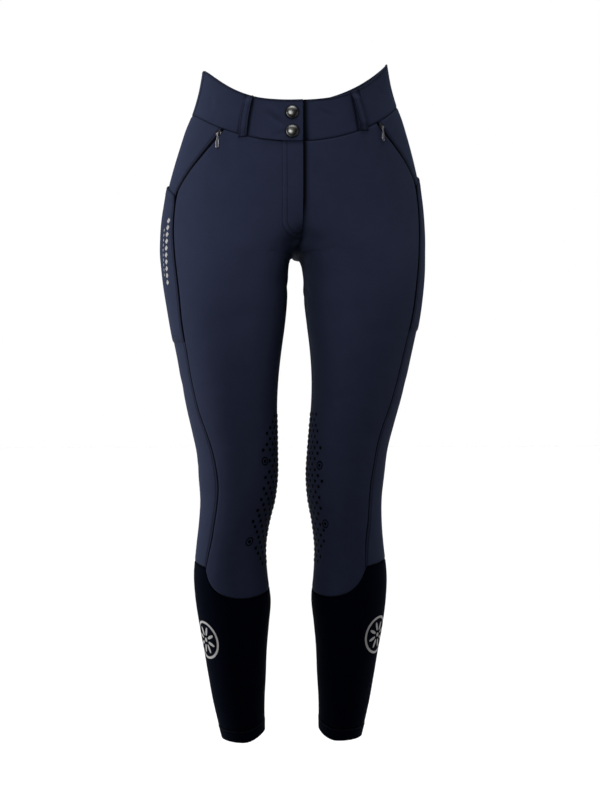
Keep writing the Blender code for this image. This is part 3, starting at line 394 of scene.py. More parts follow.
def half_section(z, across, forward):
    """Distance from the centre plane and depth of a half's section, four quarter ellipses, bulged inside."""
    section = {name: smooth(z, SECTIONS, SECTION_COLUMNS, name) for name in SECTION_COLUMNS[1:]}
    middle = np.where(forward >= 0, section["x_front"], section["x_back"])
    reach = np.where(across >= 0, section["x_out"] - middle, middle - section["gap"])
    depth = np.where(forward >= 0, section["y_side"] - section["y_front"], section["y_back"] - section["y_side"])
    full = np.where(forward >= 0, *(smooth(z, FULLNESS, FULLNESS_COLUMNS, where) for where in ("front", "back")))
    bulge = 1 + np.where(across < 0, full, 0.0) * (2 * across * forward) ** 2
    x = middle + reach * across * bulge + crotch_shift(z, across, forward)
    return x, section["y_side"] - depth * forward * bulge


def inner_angle(x, z, where):
    """Angle from the front (or from the back) to where an inner quarter is x from the centre plane, by halving."""
    low, high = np.zeros(np.broadcast(x, z).shape), np.full(np.broadcast(x, z).shape, 90.0)
    facing = 1.0 if where == "front" else -1.0
    for _ in range(26):
        middle = (low + high) / 2
        turn = np.radians(middle)
        outside = half_section(z, -np.sin(turn), facing * np.cos(turn))[0] > x
        low, high = np.where(outside, middle, low), np.where(outside, high, middle)
    return (low + high) / 2


def ring(side, angle, z):
    """Points of the cloth's outer surface, in the stance it is worn in."""
    side, angle, z = np.broadcast_arrays(np.asarray(side, float), np.asarray(angle, float), np.asarray(z, float))
    stance = {name: smooth(z, STANCE, STANCE_COLUMNS, name) for name in STANCE_COLUMNS[1:]}
    turned = np.radians(angle - side * stance["turn_deg"])
    x, y = half_section(z, np.sin(turned), np.cos(turned))
    x = side * x + stance["sway"]
    return np.stack([x, y, z + math.tan(HIP_TILT) * stance["tilt_share"] * x], axis=-1)


def normal_and_scale(side, angle, z):
    """The surface's outward normal, and how many metres one degree round it is."""
    turn, lift = 0.25, 0.0003
    round_it = ring(side, angle + turn, z) - ring(side, angle - turn, z)
    up_it = ring(side, angle, z + lift) - ring(side, angle, z - lift)
    out = np.cross(round_it, up_it) * np.broadcast_to(np.asarray(side, float), round_it.shape[:-1])[..., None]
    size = np.linalg.norm(out, axis=-1, keepdims=True)
    return out / size, np.linalg.norm(round_it, axis=-1) / (2 * turn)


def centre_front(z):
    """Angle of the centre front seam, and of the inseam's front edge below the crotch."""
    return np.where(z > CROTCH_Z, -inner_angle(0.0, z, "front"), -90.0)


def centre_back(z):
    """Angle of the centre back seam, and of the inseam's back edge below the crotch."""
    return np.where(z > CROTCH_Z, 180 + inner_angle(0.0, z, "back"), 270.0)


def front_seam(z):
    return smooth(z, SIDE_SEAMS, SIDE_SEAM_COLUMNS, "front")


def back_seam(z):
    return smooth(z, SIDE_SEAMS, SIDE_SEAM_COLUMNS, "back")


def band_edge(angle, edge):
    """Height of a waistband edge: lowest at centre front, highest at the side, between them at centre back."""
    share = np.abs(np.sin(np.radians(angle))) ** edge["power"]
    middle = np.where(np.abs(angle) <= 90, edge["front"], edge["back"])
    return middle + (edge["side"] - middle) * share


def band_top(angle):
    return band_edge(angle, BAND_TOP)


def band_seam(angle):
    return band_edge(angle, BAND_SEAM)


def sock_edge(angle):
    return smooth(angle, SOCK_EDGE, SOCK_EDGE_COLUMNS, "z")


def hem_edge(angle):
    """Height of the sock's lower edge: it dips at the front, and rises to the inseam and a little to the back."""
    turn = np.radians(angle)
    inner = HEM_RISE_INNER * np.clip(-np.sin(turn), 0, None) ** 2
    return HEM_FRONT_Z + inner + HEM_RISE_BACK * (1 - np.cos(turn)) / 2


def seam_angle(seam, edge):
    """The angle where a side seam meets a band's or a sock's edge."""
    z = 0.0
    for _ in range(20):
        z = edge(seam(z))
    return float(seam(z))


def plain_gap(z):
    return SEAM_HALF_GAP + 0 * z


def zip_gap(z):
    """Half the gap at the front side seam: it opens where the pocket's zip is set in."""
    return SEAM_HALF_GAP + (ZIP_HALF_GAP - SEAM_HALF_GAP) * ease((z - ZIP_END_Z + ZIP_FADE) / ZIP_FADE)


def relief(side, angle, z):
    """How far the creases move the cloth out.

    Each crease is a bell-shaped trough across its line, with a low ridge along its upper side, and fades to
    nothing at both its ends.
    """
    side, angle, z = np.broadcast_arrays(side, angle, z)
    total = np.zeros(angle.shape)
    for row in CREASES:
        crease = dict(zip(CREASE_COLUMNS, row))
        home = crease["side"] or 1
        _, scale = normal_and_scale(home, np.array(crease["angle"]), np.array(crease["z"]))
        u = ((angle - crease["angle"] + 180) % 360 - 180) * float(scale)
        v = z - crease["z"]
        turn = math.radians(crease["lean"])
        along = u * math.cos(turn) + v * math.sin(turn)
        across = (v * math.cos(turn) - u * math.sin(turn) - crease["bend"] * along**2) / crease["width"]
        fade = ease(1 - np.abs(along) / (crease["length"] / 2)) * ((side == crease["side"]) | (crease["side"] == 0))
        total -= crease["depth"] * fade * (np.exp(-(across**2)) - 0.4 * np.exp(-(((across - 1.6) / 1.2) ** 2)))
    return total * bpy.context.scene.breeches_cloth.crease


def lifted(side, points, out, lift):
    """Points moved out by a distance, each kept on its own half."""
    moved = points + out * np.broadcast_to(lift, out.shape[:-1])[..., None]
    moved[..., 0] = side * np.maximum(side * moved[..., 0], SEAM_HALF_GAP)
    return moved


def on_cloth(side, angle, z, lift):
    """Points at a distance out from the creased surface, and the way out there."""
    out, _ = normal_and_scale(side, angle, z)
    return lifted(side, ring(side, angle, z), out, lift + relief(side, angle, z)), out


def walk(side, angle, z, distance):
    """The angle reached by going a distance round the leg, in eight steps."""
    for _ in range(8):
        angle = angle + distance / 8 / normal_and_scale(side, angle, z)[1]
    return angle


# ================================================================ shells of cloth

SEAM_STEPS = (0.0, 0.0005, 0.0011, 0.0018, 0.0027, 0.0035, 0.0042, 0.0049, 0.0062)
FREE_STEPS = (0.0, 0.00015, 0.0004, 0.0008, 0.0015, 0.0021, 0.0026, 0.0031, 0.0050)
TOPSTITCH, TOPSTITCH_DEPTH, TOPSTITCH_WIDTH = 0.0042, 0.00035, 0.0008
# Widths of the painted shade beside a seam, under the waistband, beside a folded edge, round a snap and beside a loop.
SHADE, NARROW_SHADE, FOLD_SHADE, SNAP_SHADE, LOOP_SHADE = 0.0014, 0.0009, 0.0007, 0.0015, 0.0019
# A folded edge's radius as a share of its cloth, and the least thickness and gap where cloth is pressed flat.
FOLD_SHARE, PRESSED = 0.48, 0.0001
# Above the crotch an edge on the centre plane starts to hold its place over this height, as far in as this.
MEET_EASE, MEET_REACH = 0.004, 0.006


def arc_length(points):
    """Running length along each row of points."""
    steps = np.linalg.norm(np.diff(points, axis=1), axis=-1)
    return np.hstack([np.zeros((len(points), 1)), np.cumsum(steps, axis=1)])


def spaced(total, start_steps, end_steps, even):
    """Distances across strips of these total widths: close together at both edges and even between them."""
    total = np.asarray(total, float)[..., None]
    start, end = np.array(start_steps), np.array(end_steps)
    between = start[-1] + (total - start[-1] - end[-1]) * np.linspace(0, 1, even)
    return np.concatenate([start[:-1] + 0 * total, between, total - end[-2::-1]], axis=-1)


class Patch:
    """Places of a cloth piece's points, rows by columns, evenly spread round the leg by real distance.

    locate turns the running place round a row into a side and an angle. heights gives each row's height at the
    angles of its points. The distances from the four edges are kept too. meets names an edge on the centre plane:
    above the crotch a seam's tuck and the creases leave its distance from that plane as it is.
    """

    meets = None

    def __init__(self, locate, first, last, heights, even, start=SEAM_STEPS, end=SEAM_STEPS, closed=False):
        place = first + (last - first) * np.linspace(0, 1, 121)
        side, angle = locate(place)
        run = arc_length(ring(side, angle, heights(angle)))
        if closed:
            self.across = run[:, -1:] * np.linspace(0, 1, even + 1)[:-1]
        else:
            self.across = spaced(run[:, -1], start, end, even)
        place = np.array([np.interp(d, r, p) for d, r, p in zip(self.across, run, np.broadcast_to(place, run.shape))])
        self.side, self.angle = locate(place)
        self.z = heights(self.angle)
        self.closed = closed
        self.girth = run[:, -1:]
        self.edges = {
            "start": self.across,
            "end": run[:, -1:] - self.across,
            "low": self.z - self.z[0],
            "high": self.z[-1] - self.z,
        }

    def near(self, *edges):
        """Distance to the nearest of these edges."""
        return np.min([self.edges[name] for name in edges], axis=0)

    def points(self, lift):
        """The patch's points at a distance out from the creased surface, which is worked out once."""
        if not hasattr(self, "ground"):
            out, _ = normal_and_scale(self.side, self.angle, self.z)
            self.ground = ring(self.side, self.angle, self.z), out, relief(self.side, self.angle, self.z)
        ground, out, moved = self.ground
        points = lifted(self.side, ground, out, lift + moved)
        if self.meets:
            edge = {"start": 0, "end": -1}[self.meets]
            above = ease((self.z[:, edge] - CROTCH_Z + MEET_EASE) / MEET_EASE)
            drift = (points[:, edge, 0] - ground[:, edge, 0]) * above
            points[..., 0] -= drift[:, None] * (1 - ease(self.near(self.meets) / MEET_REACH))
        return points


def tuck(distance, cloth):
    """How deep a seam draws the cloth in: all of it at the seam, falling off as a square."""
    return cloth.tuck_depth * np.clip(1 - distance / cloth.tuck_width, 0, 1) ** 2


def sunk_line(distance, place):
    """1 on a line of stitching at this distance from an edge, falling off as a bell on both its sides."""
    return np.exp(-(((distance - place) / TOPSTITCH_WIDTH) ** 2))


def seam_shade(distance, width=SHADE):
    """How much painted shade darkens the cloth beside a seam, where it turns in: fully at the seam, as a bell beside
    it.
    """
    return np.exp(-((distance / width) ** 2))


def lap_shadow(distance, full, width):
    """The shadow of the edge that laps over centre front: full for a distance, then falling off as a bell."""
    return seam_shade(np.clip(distance - full, 0, None), width)


def rounding(distance, radius):
    """How far a cloth's faces turn in at a folded edge: a quarter circle of this radius."""
    inside = np.clip(radius - distance, 0, radius)
    return radius - np.sqrt(radius**2 - inside**2)


def shell_faces(index, below, closed):
    """Faces of a wall between two grids: both sides, and the rims that close it at its open edges."""
    outer = cells(index)
    rims = [index[0], index[-1, ::-1]] + ([] if closed else [index[::-1, 0], index[:, -1]])
    rims = [np.stack([rim[1:], rim[:-1], rim[:-1] + below, rim[1:] + below], axis=-1) for rim in rims]
    return np.vstack([outer, outer[:, ::-1] + below, *rims])


def volume(points, faces):
    """Six times the volume that faces close in, negative where they face inwards."""
    corners, total = points[faces], 0.0
    for k in range(1, faces.shape[1] - 1):
        total += np.einsum("ij,ij->", corners[:, 0], np.cross(corners[:, k], corners[:, k + 1]))
    return total


def add_piece(name, points, faces, look, slot=None, body="garment", replaces=(), uv=None, shade=None, sharp=50):
    """A finished object from points and faces, turned outwards as a whole, with its finish and its body.

    faces is an array, or several with different corner counts. uv holds a place for each face corner, in order,
    and shade the painted shade of each point.
    """
    faces = faces if isinstance(faces, list) else [faces]
    if sum(volume(points, group) for group in faces) < 0:
        faces = [group[:, ::-1] for group in faces]
        uv = uv if uv is None else uv[:, ::-1]
    mesh = bpy.data.meshes.new(name)
    mesh.from_pydata(points.tolist(), [], [face for group in faces for face in group.tolist()])
    if uv is not None:
        layer = mesh.uv_layers.new(name="cloth")
        layer.data.foreach_set("uv", uv.astype(np.float32).ravel())
    if shade is not None:
        layer = mesh.attributes.new("shade", "FLOAT", "POINT")
        layer.data.foreach_set("value", np.asarray(shade, np.float32).ravel())
    mesh.shade_smooth()
    mesh.set_sharp_from_angle(angle=math.radians(sharp))
    mesh.materials.append(look)
    piece = bpy.data.objects.new(name, mesh)
    bpy.context.collection.objects.link(piece)
    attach(piece, body)
    if replaces:
        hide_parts(*replaces)
    return piece


def cloth_shell(node, patch, outer, inner, shade, look=None, slot="navy_stretch_cloth"):
    """A node's cloth as a closed thin shell between two distances off the surface.

    shade says how much painted shade darkens each of its points, from 0 to 1. The look is the navy cloth's unless
    given.
    """
    faces_out, faces_in = patch.points(outer), patch.points(inner)
    rows, columns = patch.z.shape
    index = np.arange(rows * columns).reshape(rows, columns)
    across, up = patch.across, patch.z
    if patch.closed:
        index = np.hstack([index, index[:, :1]])
        across, up = np.hstack([across, patch.girth]), np.hstack([up, up[:, :1]])
    ends = np.arange(across.size).reshape(across.shape)
    places = np.stack([across, up], axis=-1).reshape(-1, 2)
    points = np.vstack([faces_out.reshape(-1, 3), faces_in.reshape(-1, 3)])
    faces = shell_faces(index, rows * columns, patch.closed)
    uv = places[shell_faces(ends, 0, patch.closed)]
    shade = np.broadcast_to(np.clip(shade, 0, 1), patch.z.shape).ravel()
    shade = np.concatenate([shade, shade])
    look = look or navy_cloth()
    piece = add_piece(f"cloth_{node}", points, faces, look, slot, replaces=[node], uv=uv, shade=shade)


def one_side(side):
    return lambda place: (np.full(np.shape(place), side), place)


def across_front(place):
    """Places from the right (negative) to the left of centre front."""
    return np.where(place < 0, RIGHT, LEFT), np.abs(place)


def across_back(place):
    """Places from the right (negative) to the left of centre back."""
    return np.where(place < 0, RIGHT, LEFT), 180 - np.abs(place)


# Nominal heights, for the rows' shares of: a panel's ends, a sock, the waistband, a phone pocket and the fly.
PANEL_END, SOCK_SPAN, BAND_SPAN, POCKET_SPAN, FLY_SPAN = 0.080, 0.210, 0.060, 0.210, 0.125


def shares(total, start, end, even):
    """Rows' shares of a height, from their distances at a nominal height."""
    return spaced(total, start, end, even)[:, None] / total


def panel_heights(angle):
    """Heights of a leg panel's rows, from the sock up to the waistband, closer together round the crotch."""
    low, high = sock_edge(angle[0]) + SEAM_HALF_GAP, band_seam(angle[-1]) - SEAM_HALF_GAP
    calf, hip = shares(PANEL_END, SEAM_STEPS, (0.0,), 20)[:-1], shares(PANEL_END, (0.0,), SEAM_STEPS, 18)[1:]
    near, far = 0.024 * (np.linspace(0, 1, 13)[1:] ** 2), 0.028
    leg, seat = np.linspace(CALF_Z, CROTCH_Z - far, 104), np.linspace(CROTCH_Z + far, HIP_Z, 20)
    levels = np.concatenate([leg, CROTCH_Z - near[::-1], [CROTCH_Z], CROTCH_Z + near, seat])
    return np.vstack([low + (CALF_Z - low) * calf, levels[:, None] + 0 * low, HIP_Z + (high - HIP_Z) * hip])


def panel_patch(side, start, end, start_gap, end_gap, even):
    """A leg panel's patch between two seam lines, with the seams' half gaps left free."""
    angle = np.zeros((2, 2))
    for _ in range(12):
        z = panel_heights(angle)
        first, last = start(z[:, :1]), end(z[:, 1:])
        first = first + start_gap(z[:, :1]) / normal_and_scale(side, first, z[:, :1])[1]
        last = last - end_gap(z[:, 1:]) / normal_and_scale(side, last, z[:, 1:])[1]
        angle = np.hstack([first, last])
    return Patch(one_side(side), first, last, panel_heights, even)


def leg_panels(side, cloth):
    """Front, side and back panel of one half."""
    name = SIDES[side]
    cuts = (
        ("front", centre_front, front_seam, plain_gap, zip_gap, 46, f"waistband_front_{name}"),
        ("side_panel", front_seam, back_seam, zip_gap, plain_gap, 26, f"waistband_front_{name}"),
        ("back", back_seam, centre_back, plain_gap, plain_gap, 54, "waistband_back"),
    )
    for piece, start, end, start_gap, end_gap, even, band in cuts:
        node = f"{piece}_{name}"
        patch = panel_patch(side, start, end, start_gap, end_gap, even)
        patch.meets = {"front": "start", "back": "end"}.get(piece)
        edge = patch.near("start", "end", "low", "high")
        # Painted shade: darker beside the seams, under the waistband and along the side panel's topstitching, and a
        # painted shadow of the right front's lapped edge on the left front.
        sunk, below_band = tuck(edge, cloth), 0.7 * seam_shade(patch.near("high"), NARROW_SHADE)
        shade = np.maximum(seam_shade(patch.near("start", "end", "low")), below_band)
        if node == "front_left":
            fade = 0.45 + 0.55 * ease((patch.z - LAP_SHADOW_Z) / 0.050)
            shade = np.maximum(shade, lap_shadow(patch.near("start"), 0.0022, 0.0036) * fade)
        if piece == "side_panel":
            line = sunk_line(patch.near("start"), TOPSTITCH)
            sunk, shade = sunk + TOPSTITCH_DEPTH * line, shade + 0.7 * line
        cloth_shell(node, patch, -sunk, -sunk - CLOTH, shade)


def sock_heights(angle):
    """Rows of the sock: its hem, the step above the hem's fold, and the tube up to the curved seam."""
    low, high = hem_edge(angle[0]), sock_edge(angle[-1]) - SEAM_HALF_GAP
    hem = spaced(HEM_DEPTH, FREE_STEPS, (0.0, 0.0002, 0.0006, 0.0014), 6)
    tube = shares(SOCK_SPAN, (0.0, 0.0002, 0.0006, 0.0014, 0.0030), SEAM_STEPS, 60)[1:]
    fold = low + HEM_DEPTH
    return np.vstack([low + hem[:, None], fold + (high - fold) * tube])


def sock(side, cloth):
    """The elastic tube from the curved seam to the hem; its turned-up hem stands a little proud."""
    rows = len(sock_heights(np.zeros((2, 1))))
    patch = Patch(one_side(side), np.full((rows, 1), -90.0), np.full((rows, 1), 270.0), sock_heights, 112, closed=True)
    fold = patch.near("low") - HEM_DEPTH
    radius = 0.0007
    hem, turned = HEM_STEP * (1 - ease(fold / radius)), rounding(patch.near("low"), radius)
    sunk = tuck(patch.near("high"), cloth)
    # Painted shade: darker under the curved seam and along the hem's fold.
    shade = seam_shade(patch.near("high")) + 0.6 * seam_shade(fold)
    outer, inner, name = hem - sunk - turned, -CLOTH - sunk + turned, SIDES[side]
    cloth_shell(f"sock_{name}", patch, outer, inner, shade, sock_knit(), "black_navy_elastic")


BAND_STITCH = 0.0026
# How far round the waistband one degree is, at centre front, at the loops and at the side, to a few per cent.
FRONT_DEGREE, LOOP_DEGREE, SIDE_DEGREE = 0.0023, 0.00235, 0.002
BAND_MIDDLE_Z = -0.030
# Belt loops: node, side, and the angles of the top and the bottom end.
LOOPS = (
    ("belt_loop_front_right", RIGHT, 30.0, 29.5),
    ("belt_loop_front_left", LEFT, 30.0, 32.0),
    ("belt_loop_back_right", RIGHT, 130.0, 130.0),
    ("belt_loop_back_left", LEFT, 130.0, 130.0),
    ("belt_loop_back_centre", LEFT, 180.0, 180.0),
)
LOOP_WIDTH, LOOP_CLOTH, LOOP_STANDOFF, LOOP_OVERHANG, LOOP_LAY = 0.0125, 0.0016, 0.0030, 0.003, 0.0005
LOOP_TOP_GAP, LOOP_STITCH = 0.0018, 0.0026


def band_heights(angle):
    """Rows of the waistband from its seam up to its folded top edge."""
    low, high = band_seam(angle[0]) + SEAM_HALF_GAP, band_top(angle[-1])
    return low + (high - low) * shares(BAND_SPAN, SEAM_STEPS, FREE_STEPS, 34)


def band_stops():
    """Angles of the waistband's side seam and of the two panel seams below it."""
    front, back = seam_angle(front_seam, band_seam), seam_angle(back_seam, band_seam)
    return front, (front + back) / 2, back


def tab_lift(angle):
    """How far the right front of the waistband stands off, where it lies over the left front."""
    return TAB_LIFT * (1 - ease((angle - TAB_FLAT_DEG) / (TAB_END_DEG - TAB_FLAT_DEG)))


def waistband(cloth):
    """Right front with its raised tab, left front with the underlap that the snaps close on, and the back."""
    _, side_stop, _ = band_stops()
    rows = len(band_heights(np.zeros((2, 1))))
    under = math.degrees(math.asin(UNDERLAP / smooth(BAND_MIDDLE_Z, SECTIONS, SECTION_COLUMNS, "x_out")))
    seam = SEAM_HALF_GAP / SIDE_DEGREE
    front, back = side_stop - seam, 180 - side_stop - seam
    parts = (
        ("waistband_front_right", one_side(RIGHT), 0.0, front, FREE_STEPS, 110, ["high", "start"]),
        ("waistband_front_left", across_front, -under, front, FREE_STEPS, 130, ["high", "start"]),
        ("waistband_back", across_back, -back, back, SEAM_STEPS, 104, ["high"]),
    )
    for node, locate, first, last, start, even, free in parts:
        full = np.ones((rows, 1))
        patch = Patch(locate, first * full, last * full, band_heights, even, start)
        sewn = [name for name in ("start", "end", "low") if name not in free]
        raised = tab_lift(patch.angle) if node == "waistband_front_right" else 0.0
        sunk = raised - tuck(patch.near(*sewn), cloth) * (raised < 0.001)
        fold = rounding(patch.near(*free), BAND_CLOTH * FOLD_SHARE)
        line = sunk_line(patch.near("high"), BAND_STITCH)
        # Painted shade: darker under the band's seam, along its topstitching, along its folded top edge and beside its
        # sewn ends.
        shade = 0.7 * seam_shade(patch.near("low"), NARROW_SHADE) + 0.35 * line
        shade += 0.5 * seam_shade(patch.near("high"), FOLD_SHADE)
        shade = np.maximum(shade, seam_shade(patch.near(*(name for name in ("start", "end") if name in sewn))))
        if node == "waistband_front_left":
            # Painted shadow of the right front's tab on the left front.
            shadow = lap_shadow(patch.angle * FRONT_DEGREE, 0.0020, 0.0040)
            shade = np.maximum(shade, shadow * (patch.side == LEFT))
        x = ring(patch.side, patch.angle, patch.z)[..., 0]
        if node == "waistband_front_right":
            # Painted shadow in a ring round each snap cap.
            for height in SNAP_HEIGHTS.values():
                away = np.abs(np.hypot(x - SNAP_X, patch.z - height) - SNAP_RADIUS)
                shade = np.maximum(shade, seam_shade(away, SNAP_SHADE))
        # Painted shadow on the band beside each belt loop.
        for _, side, top, bottom in LOOPS:
            away = np.abs((patch.angle - (top + bottom) / 2 + 180) % 360 - 180) * LOOP_DEGREE - LOOP_WIDTH / 2
            beside = patch.side == side
            if bottom == 180:
                away, beside = np.abs(x) - LOOP_WIDTH / 2, patch.angle > 150
            shade = np.maximum(shade, 0.85 * seam_shade(away, LOOP_SHADE) * beside)
        outer, inner = sunk - fold - 0.0002 * line, sunk - BAND_CLOTH + fold
        cloth_shell(node, patch, outer, inner, shade)


# ---------------------------------------------------------------- fly and phone pockets

FLY_WIDTH, FLY_CLOTH, FLY_LAY, FLY_BOTTOM_Z, FLY_CORNER_RADIUS = 0.030, 0.0010, 0.0007, -0.1895, 0.024
# The fly's outer and inner faces start this far off at its rim, and climb to full height over this distance.
FLY_RIM_OUTER, FLY_RIM_INNER, FLY_RISE = 0.00040, 0.00012, 0.0045
# The shadow beside the fly's edge fades above this height.
LAP_SHADOW_Z = -0.185
# Distances of the fly's two lines of topstitching from its rim.
FLY_LINES = (0.0010, 0.0078)


def front_angle(distance, z):
    """The angle on the front at a distance from the centre plane."""
    x_front, x_out = (smooth(z, SECTIONS, SECTION_COLUMNS, name) for name in ("x_front", "x_out"))
    outer = np.degrees(np.arcsin(np.clip((distance - x_front) / (x_out - x_front), 0.0, 1.0)))
    return np.where(distance < x_front, -inner_angle(distance, z, "front"), outer)


def fly_lift(rim):
    """How far the fly's outer face stands off: it climbs from its stitched rim to the full fold of cloth."""
    groove = sum(sunk_line(rim, line) for line in FLY_LINES)
    return FLY_RIM_OUTER + (FLY_LAY + FLY_CLOTH - FLY_RIM_OUTER) * ease(rim / FLY_RISE) - 0.0003 * groove


class FlyPatch(Patch):
    """The fly's strip, by distance from centre front: straight at the top, with a round lower outer corner."""

    def __init__(self):
        distance = np.concatenate([FREE_STEPS[:7], np.linspace(0.0034, FLY_WIDTH, 39)])
        corner, straight = np.linspace(0.0009, 0.028, 38), np.linspace(0.031, 0.119, 28)
        share = np.concatenate([[0, 0.0003], corner, straight, [FLY_SPAN - 0.0005, FLY_SPAN]])[:, None] / FLY_SPAN
        inside = np.clip(distance - (FLY_WIDTH - FLY_CORNER_RADIUS), 0, FLY_CORNER_RADIUS)
        low = FLY_BOTTOM_Z + FLY_CORNER_RADIUS - np.sqrt(FLY_CORNER_RADIUS**2 - inside**2)
        top = HIP_Z + 0 * distance
        for _ in range(8):
            self.z = low + (top - low) * share
            self.angle = front_angle(distance + 0 * self.z, self.z)
            top = band_seam(np.maximum(self.angle[-1], 0)) - SEAM_HALF_GAP
        self.side = np.full(self.z.shape, RIGHT)
        self.across = distance + 0 * self.z
        self.closed, self.girth = False, FLY_WIDTH
        away = np.hypot(inside, np.clip(FLY_BOTTOM_Z + FLY_CORNER_RADIUS - self.z, 0, None))
        corner = (self.z < FLY_BOTTOM_Z + FLY_CORNER_RADIUS) & (inside > 0)
        outside = np.minimum(FLY_WIDTH - self.across, self.z - FLY_BOTTOM_Z)
        self.edges = {
            "start": self.across,
            "high": self.z[-1] - self.z,
            "rim": np.clip(np.where(corner, FLY_CORNER_RADIUS - away, outside), 0, None),
        }


def fly():
    """The right front's folded edge: a strip that thins out to its stitched rim, with a fold at centre front."""
    patch = FlyPatch()
    rim = patch.near("rim")
    fold = rounding(patch.near("start"), FLY_CLOTH * FOLD_SHARE)
    inner = FLY_RIM_INNER + (FLY_LAY - FLY_RIM_INNER) * ease(rim / FLY_RISE) + fold
    outer = np.maximum(fly_lift(rim) - fold, inner + PRESSED)
    # Painted shade: faint along the topstitching, darker along the fold at centre front and under the waistband.
    shade = 0.22 * sum(sunk_line(rim, line) for line in FLY_LINES) + 0.6 * seam_shade(patch.near("start"), 0.0006)
    shade += 0.7 * seam_shade(patch.near("high"), NARROW_SHADE)
    cloth_shell("fly_placket", patch, outer, inner, shade)


POCKET_BOTTOM_Z, POCKET_BOTTOM_RISE = -0.3245, 0.004
POCKET_MOUTH_Z, POCKET_MOUTH_RISE = -0.1150, 0.024
POCKET_LIFT = LAY_GAP + POCKET_CLOTH
POCKET_HEM = 0.011
# The mouth gapes by this much in its middle, fading this far below it; the lower edge turns in over its own reach.
POCKET_GAPE, GAPE_REACH, POCKET_EDGE_REACH = 0.0010, 0.030, 0.0050


def mouth_height(share):
    """Height of a phone pocket's mouth: it climbs fast from the front seam and levels out towards the back."""
    return POCKET_MOUTH_Z + POCKET_MOUTH_RISE * (1 - (1 - share) ** 2.2)


def pocket_gape(share, below_mouth):
    """How far a phone pocket stands off near its mouth: a half wave across it, fading below."""
    return POCKET_GAPE * np.sin(math.pi * share) * ease(1 - below_mouth / GAPE_REACH)


def pocket_heights(angle):
    """Rows of a phone pocket between its nearly level bottom and its slanted mouth."""
    low_share = (angle[0] - angle[0, 0]) / (angle[0, -1] - angle[0, 0])
    high_share = (angle[-1] - angle[-1, 0]) / (angle[-1, -1] - angle[-1, 0])
    low, high = POCKET_BOTTOM_Z + POCKET_BOTTOM_RISE * low_share, mouth_height(high_share)
    top = [*FREE_STEPS, 0.0070, *(POCKET_HEM + step for step in (-0.0022, -0.0012, 0, 0.0009)), 0.0145]
    return low + (high - low) * shares(POCKET_SPAN, FREE_STEPS, top, 48)


def pocket_patch(side):
    """A phone pocket's patch between the two side seams."""
    z = pocket_heights(np.array([[0.0, 1.0], [0.0, 1.0]]))
    first, last = front_seam(z[:, :1]), back_seam(z[:, 1:])
    first = first + zip_gap(z[:, :1]) / normal_and_scale(side, first, z[:, :1])[1]
    last = last - SEAM_HALF_GAP / normal_and_scale(side, last, z[:, 1:])[1]
    return Patch(one_side(side), first, last, pocket_heights, 26)


def phone_pocket(side, cloth):
    """A patch over the side panel, caught in both its seams, its lower edge folded and its mouth hemmed."""
    patch = pocket_patch(side)
    sunk = tuck(patch.near("start", "end"), cloth)
    low, high = patch.near("low"), patch.near("high")
    flat = ease(low / POCKET_EDGE_REACH)
    edge = rounding(high, 0.0008) + 0.0009 * (1 - flat)
    hem = 0.00012 * (1 - ease((high - POCKET_HEM + 0.001) / 0.001))
    gape = pocket_gape(patch.across / patch.girth, high)
    outer = POCKET_LIFT - sunk - edge + hem + gape
    inner = PRESSED + (LAY_GAP - PRESSED) * flat - sunk + gape
    # Painted shade: darker beside the seams, along the folded bottom, under the mouth and along the topstitching
    # beside the front seam, and faint along the hem's stitching.
    shade = seam_shade(patch.near("start", "end")) + 0.25 * seam_shade(low) + 0.7 * seam_shade(high, NARROW_SHADE)
    shade += 0.15 * sunk_line(high, POCKET_HEM) + 0.7 * sunk_line(patch.near("start"), TOPSTITCH)
    cloth_shell(f"phone_pocket_{SIDES[side]}", patch, outer, inner, shade)


# ---------------------------------------------------------------- belt loops


class LoopPatch(Patch):
    """A belt loop's strip, along its length and across it, from below the band's seam to under its top edge."""

    centred_x = None

    def __init__(self, side, top, bottom):
        low = band_seam(np.array(bottom)) - LOOP_OVERHANG
        high = band_top(np.array(top)) - LOOP_TOP_GAP
        run = float(high - low)
        along = spaced(run, FREE_STEPS, FREE_STEPS, 40)[:, None]
        distance = spaced(LOOP_WIDTH, FREE_STEPS[:8], FREE_STEPS[:8], 6)
        self.z = low + along + 0 * distance
        middle = bottom + (top - bottom) * along / run + 0 * distance
        _, scale = normal_and_scale(side, middle, self.z)
        offset = distance - LOOP_WIDTH / 2 + 0 * self.z
        if bottom == 180:
            # On the centre plane the two halves' backs don't meet at 180 degrees, so the strap is laid by its x.
            self.centred_x = -side * offset
            beyond = np.abs(offset) - side * ring(side, middle, self.z)[..., 0]
            self.side, self.angle = np.where(offset > 0, -side, side), 180 - np.clip(beyond, 0, None) / scale
        else:
            self.side, self.angle = side + 0 * offset, middle + offset / scale
        self.across = distance + 0 * self.z
        self.closed, self.girth = False, LOOP_WIDTH
        self.share = along / run
        self.edges = {"start": self.across, "end": LOOP_WIDTH - self.across, "low": along, "high": run - along}
        self.edges = {name: value + 0 * self.z for name, value in self.edges.items()}

    def points(self, lift):
        """The patch's points, and on the centre plane at their own distance from it."""
        points = super().points(lift)
        if self.centred_x is not None:
            points[..., 0] = self.centred_x
        return points

    def stand(self, share):
        """How far the loop stands off the cloth: little at its sewn ends, more between them."""
        return LOOP_LAY + LOOP_STANDOFF * ease(np.minimum(share, 1 - share) / 0.22)


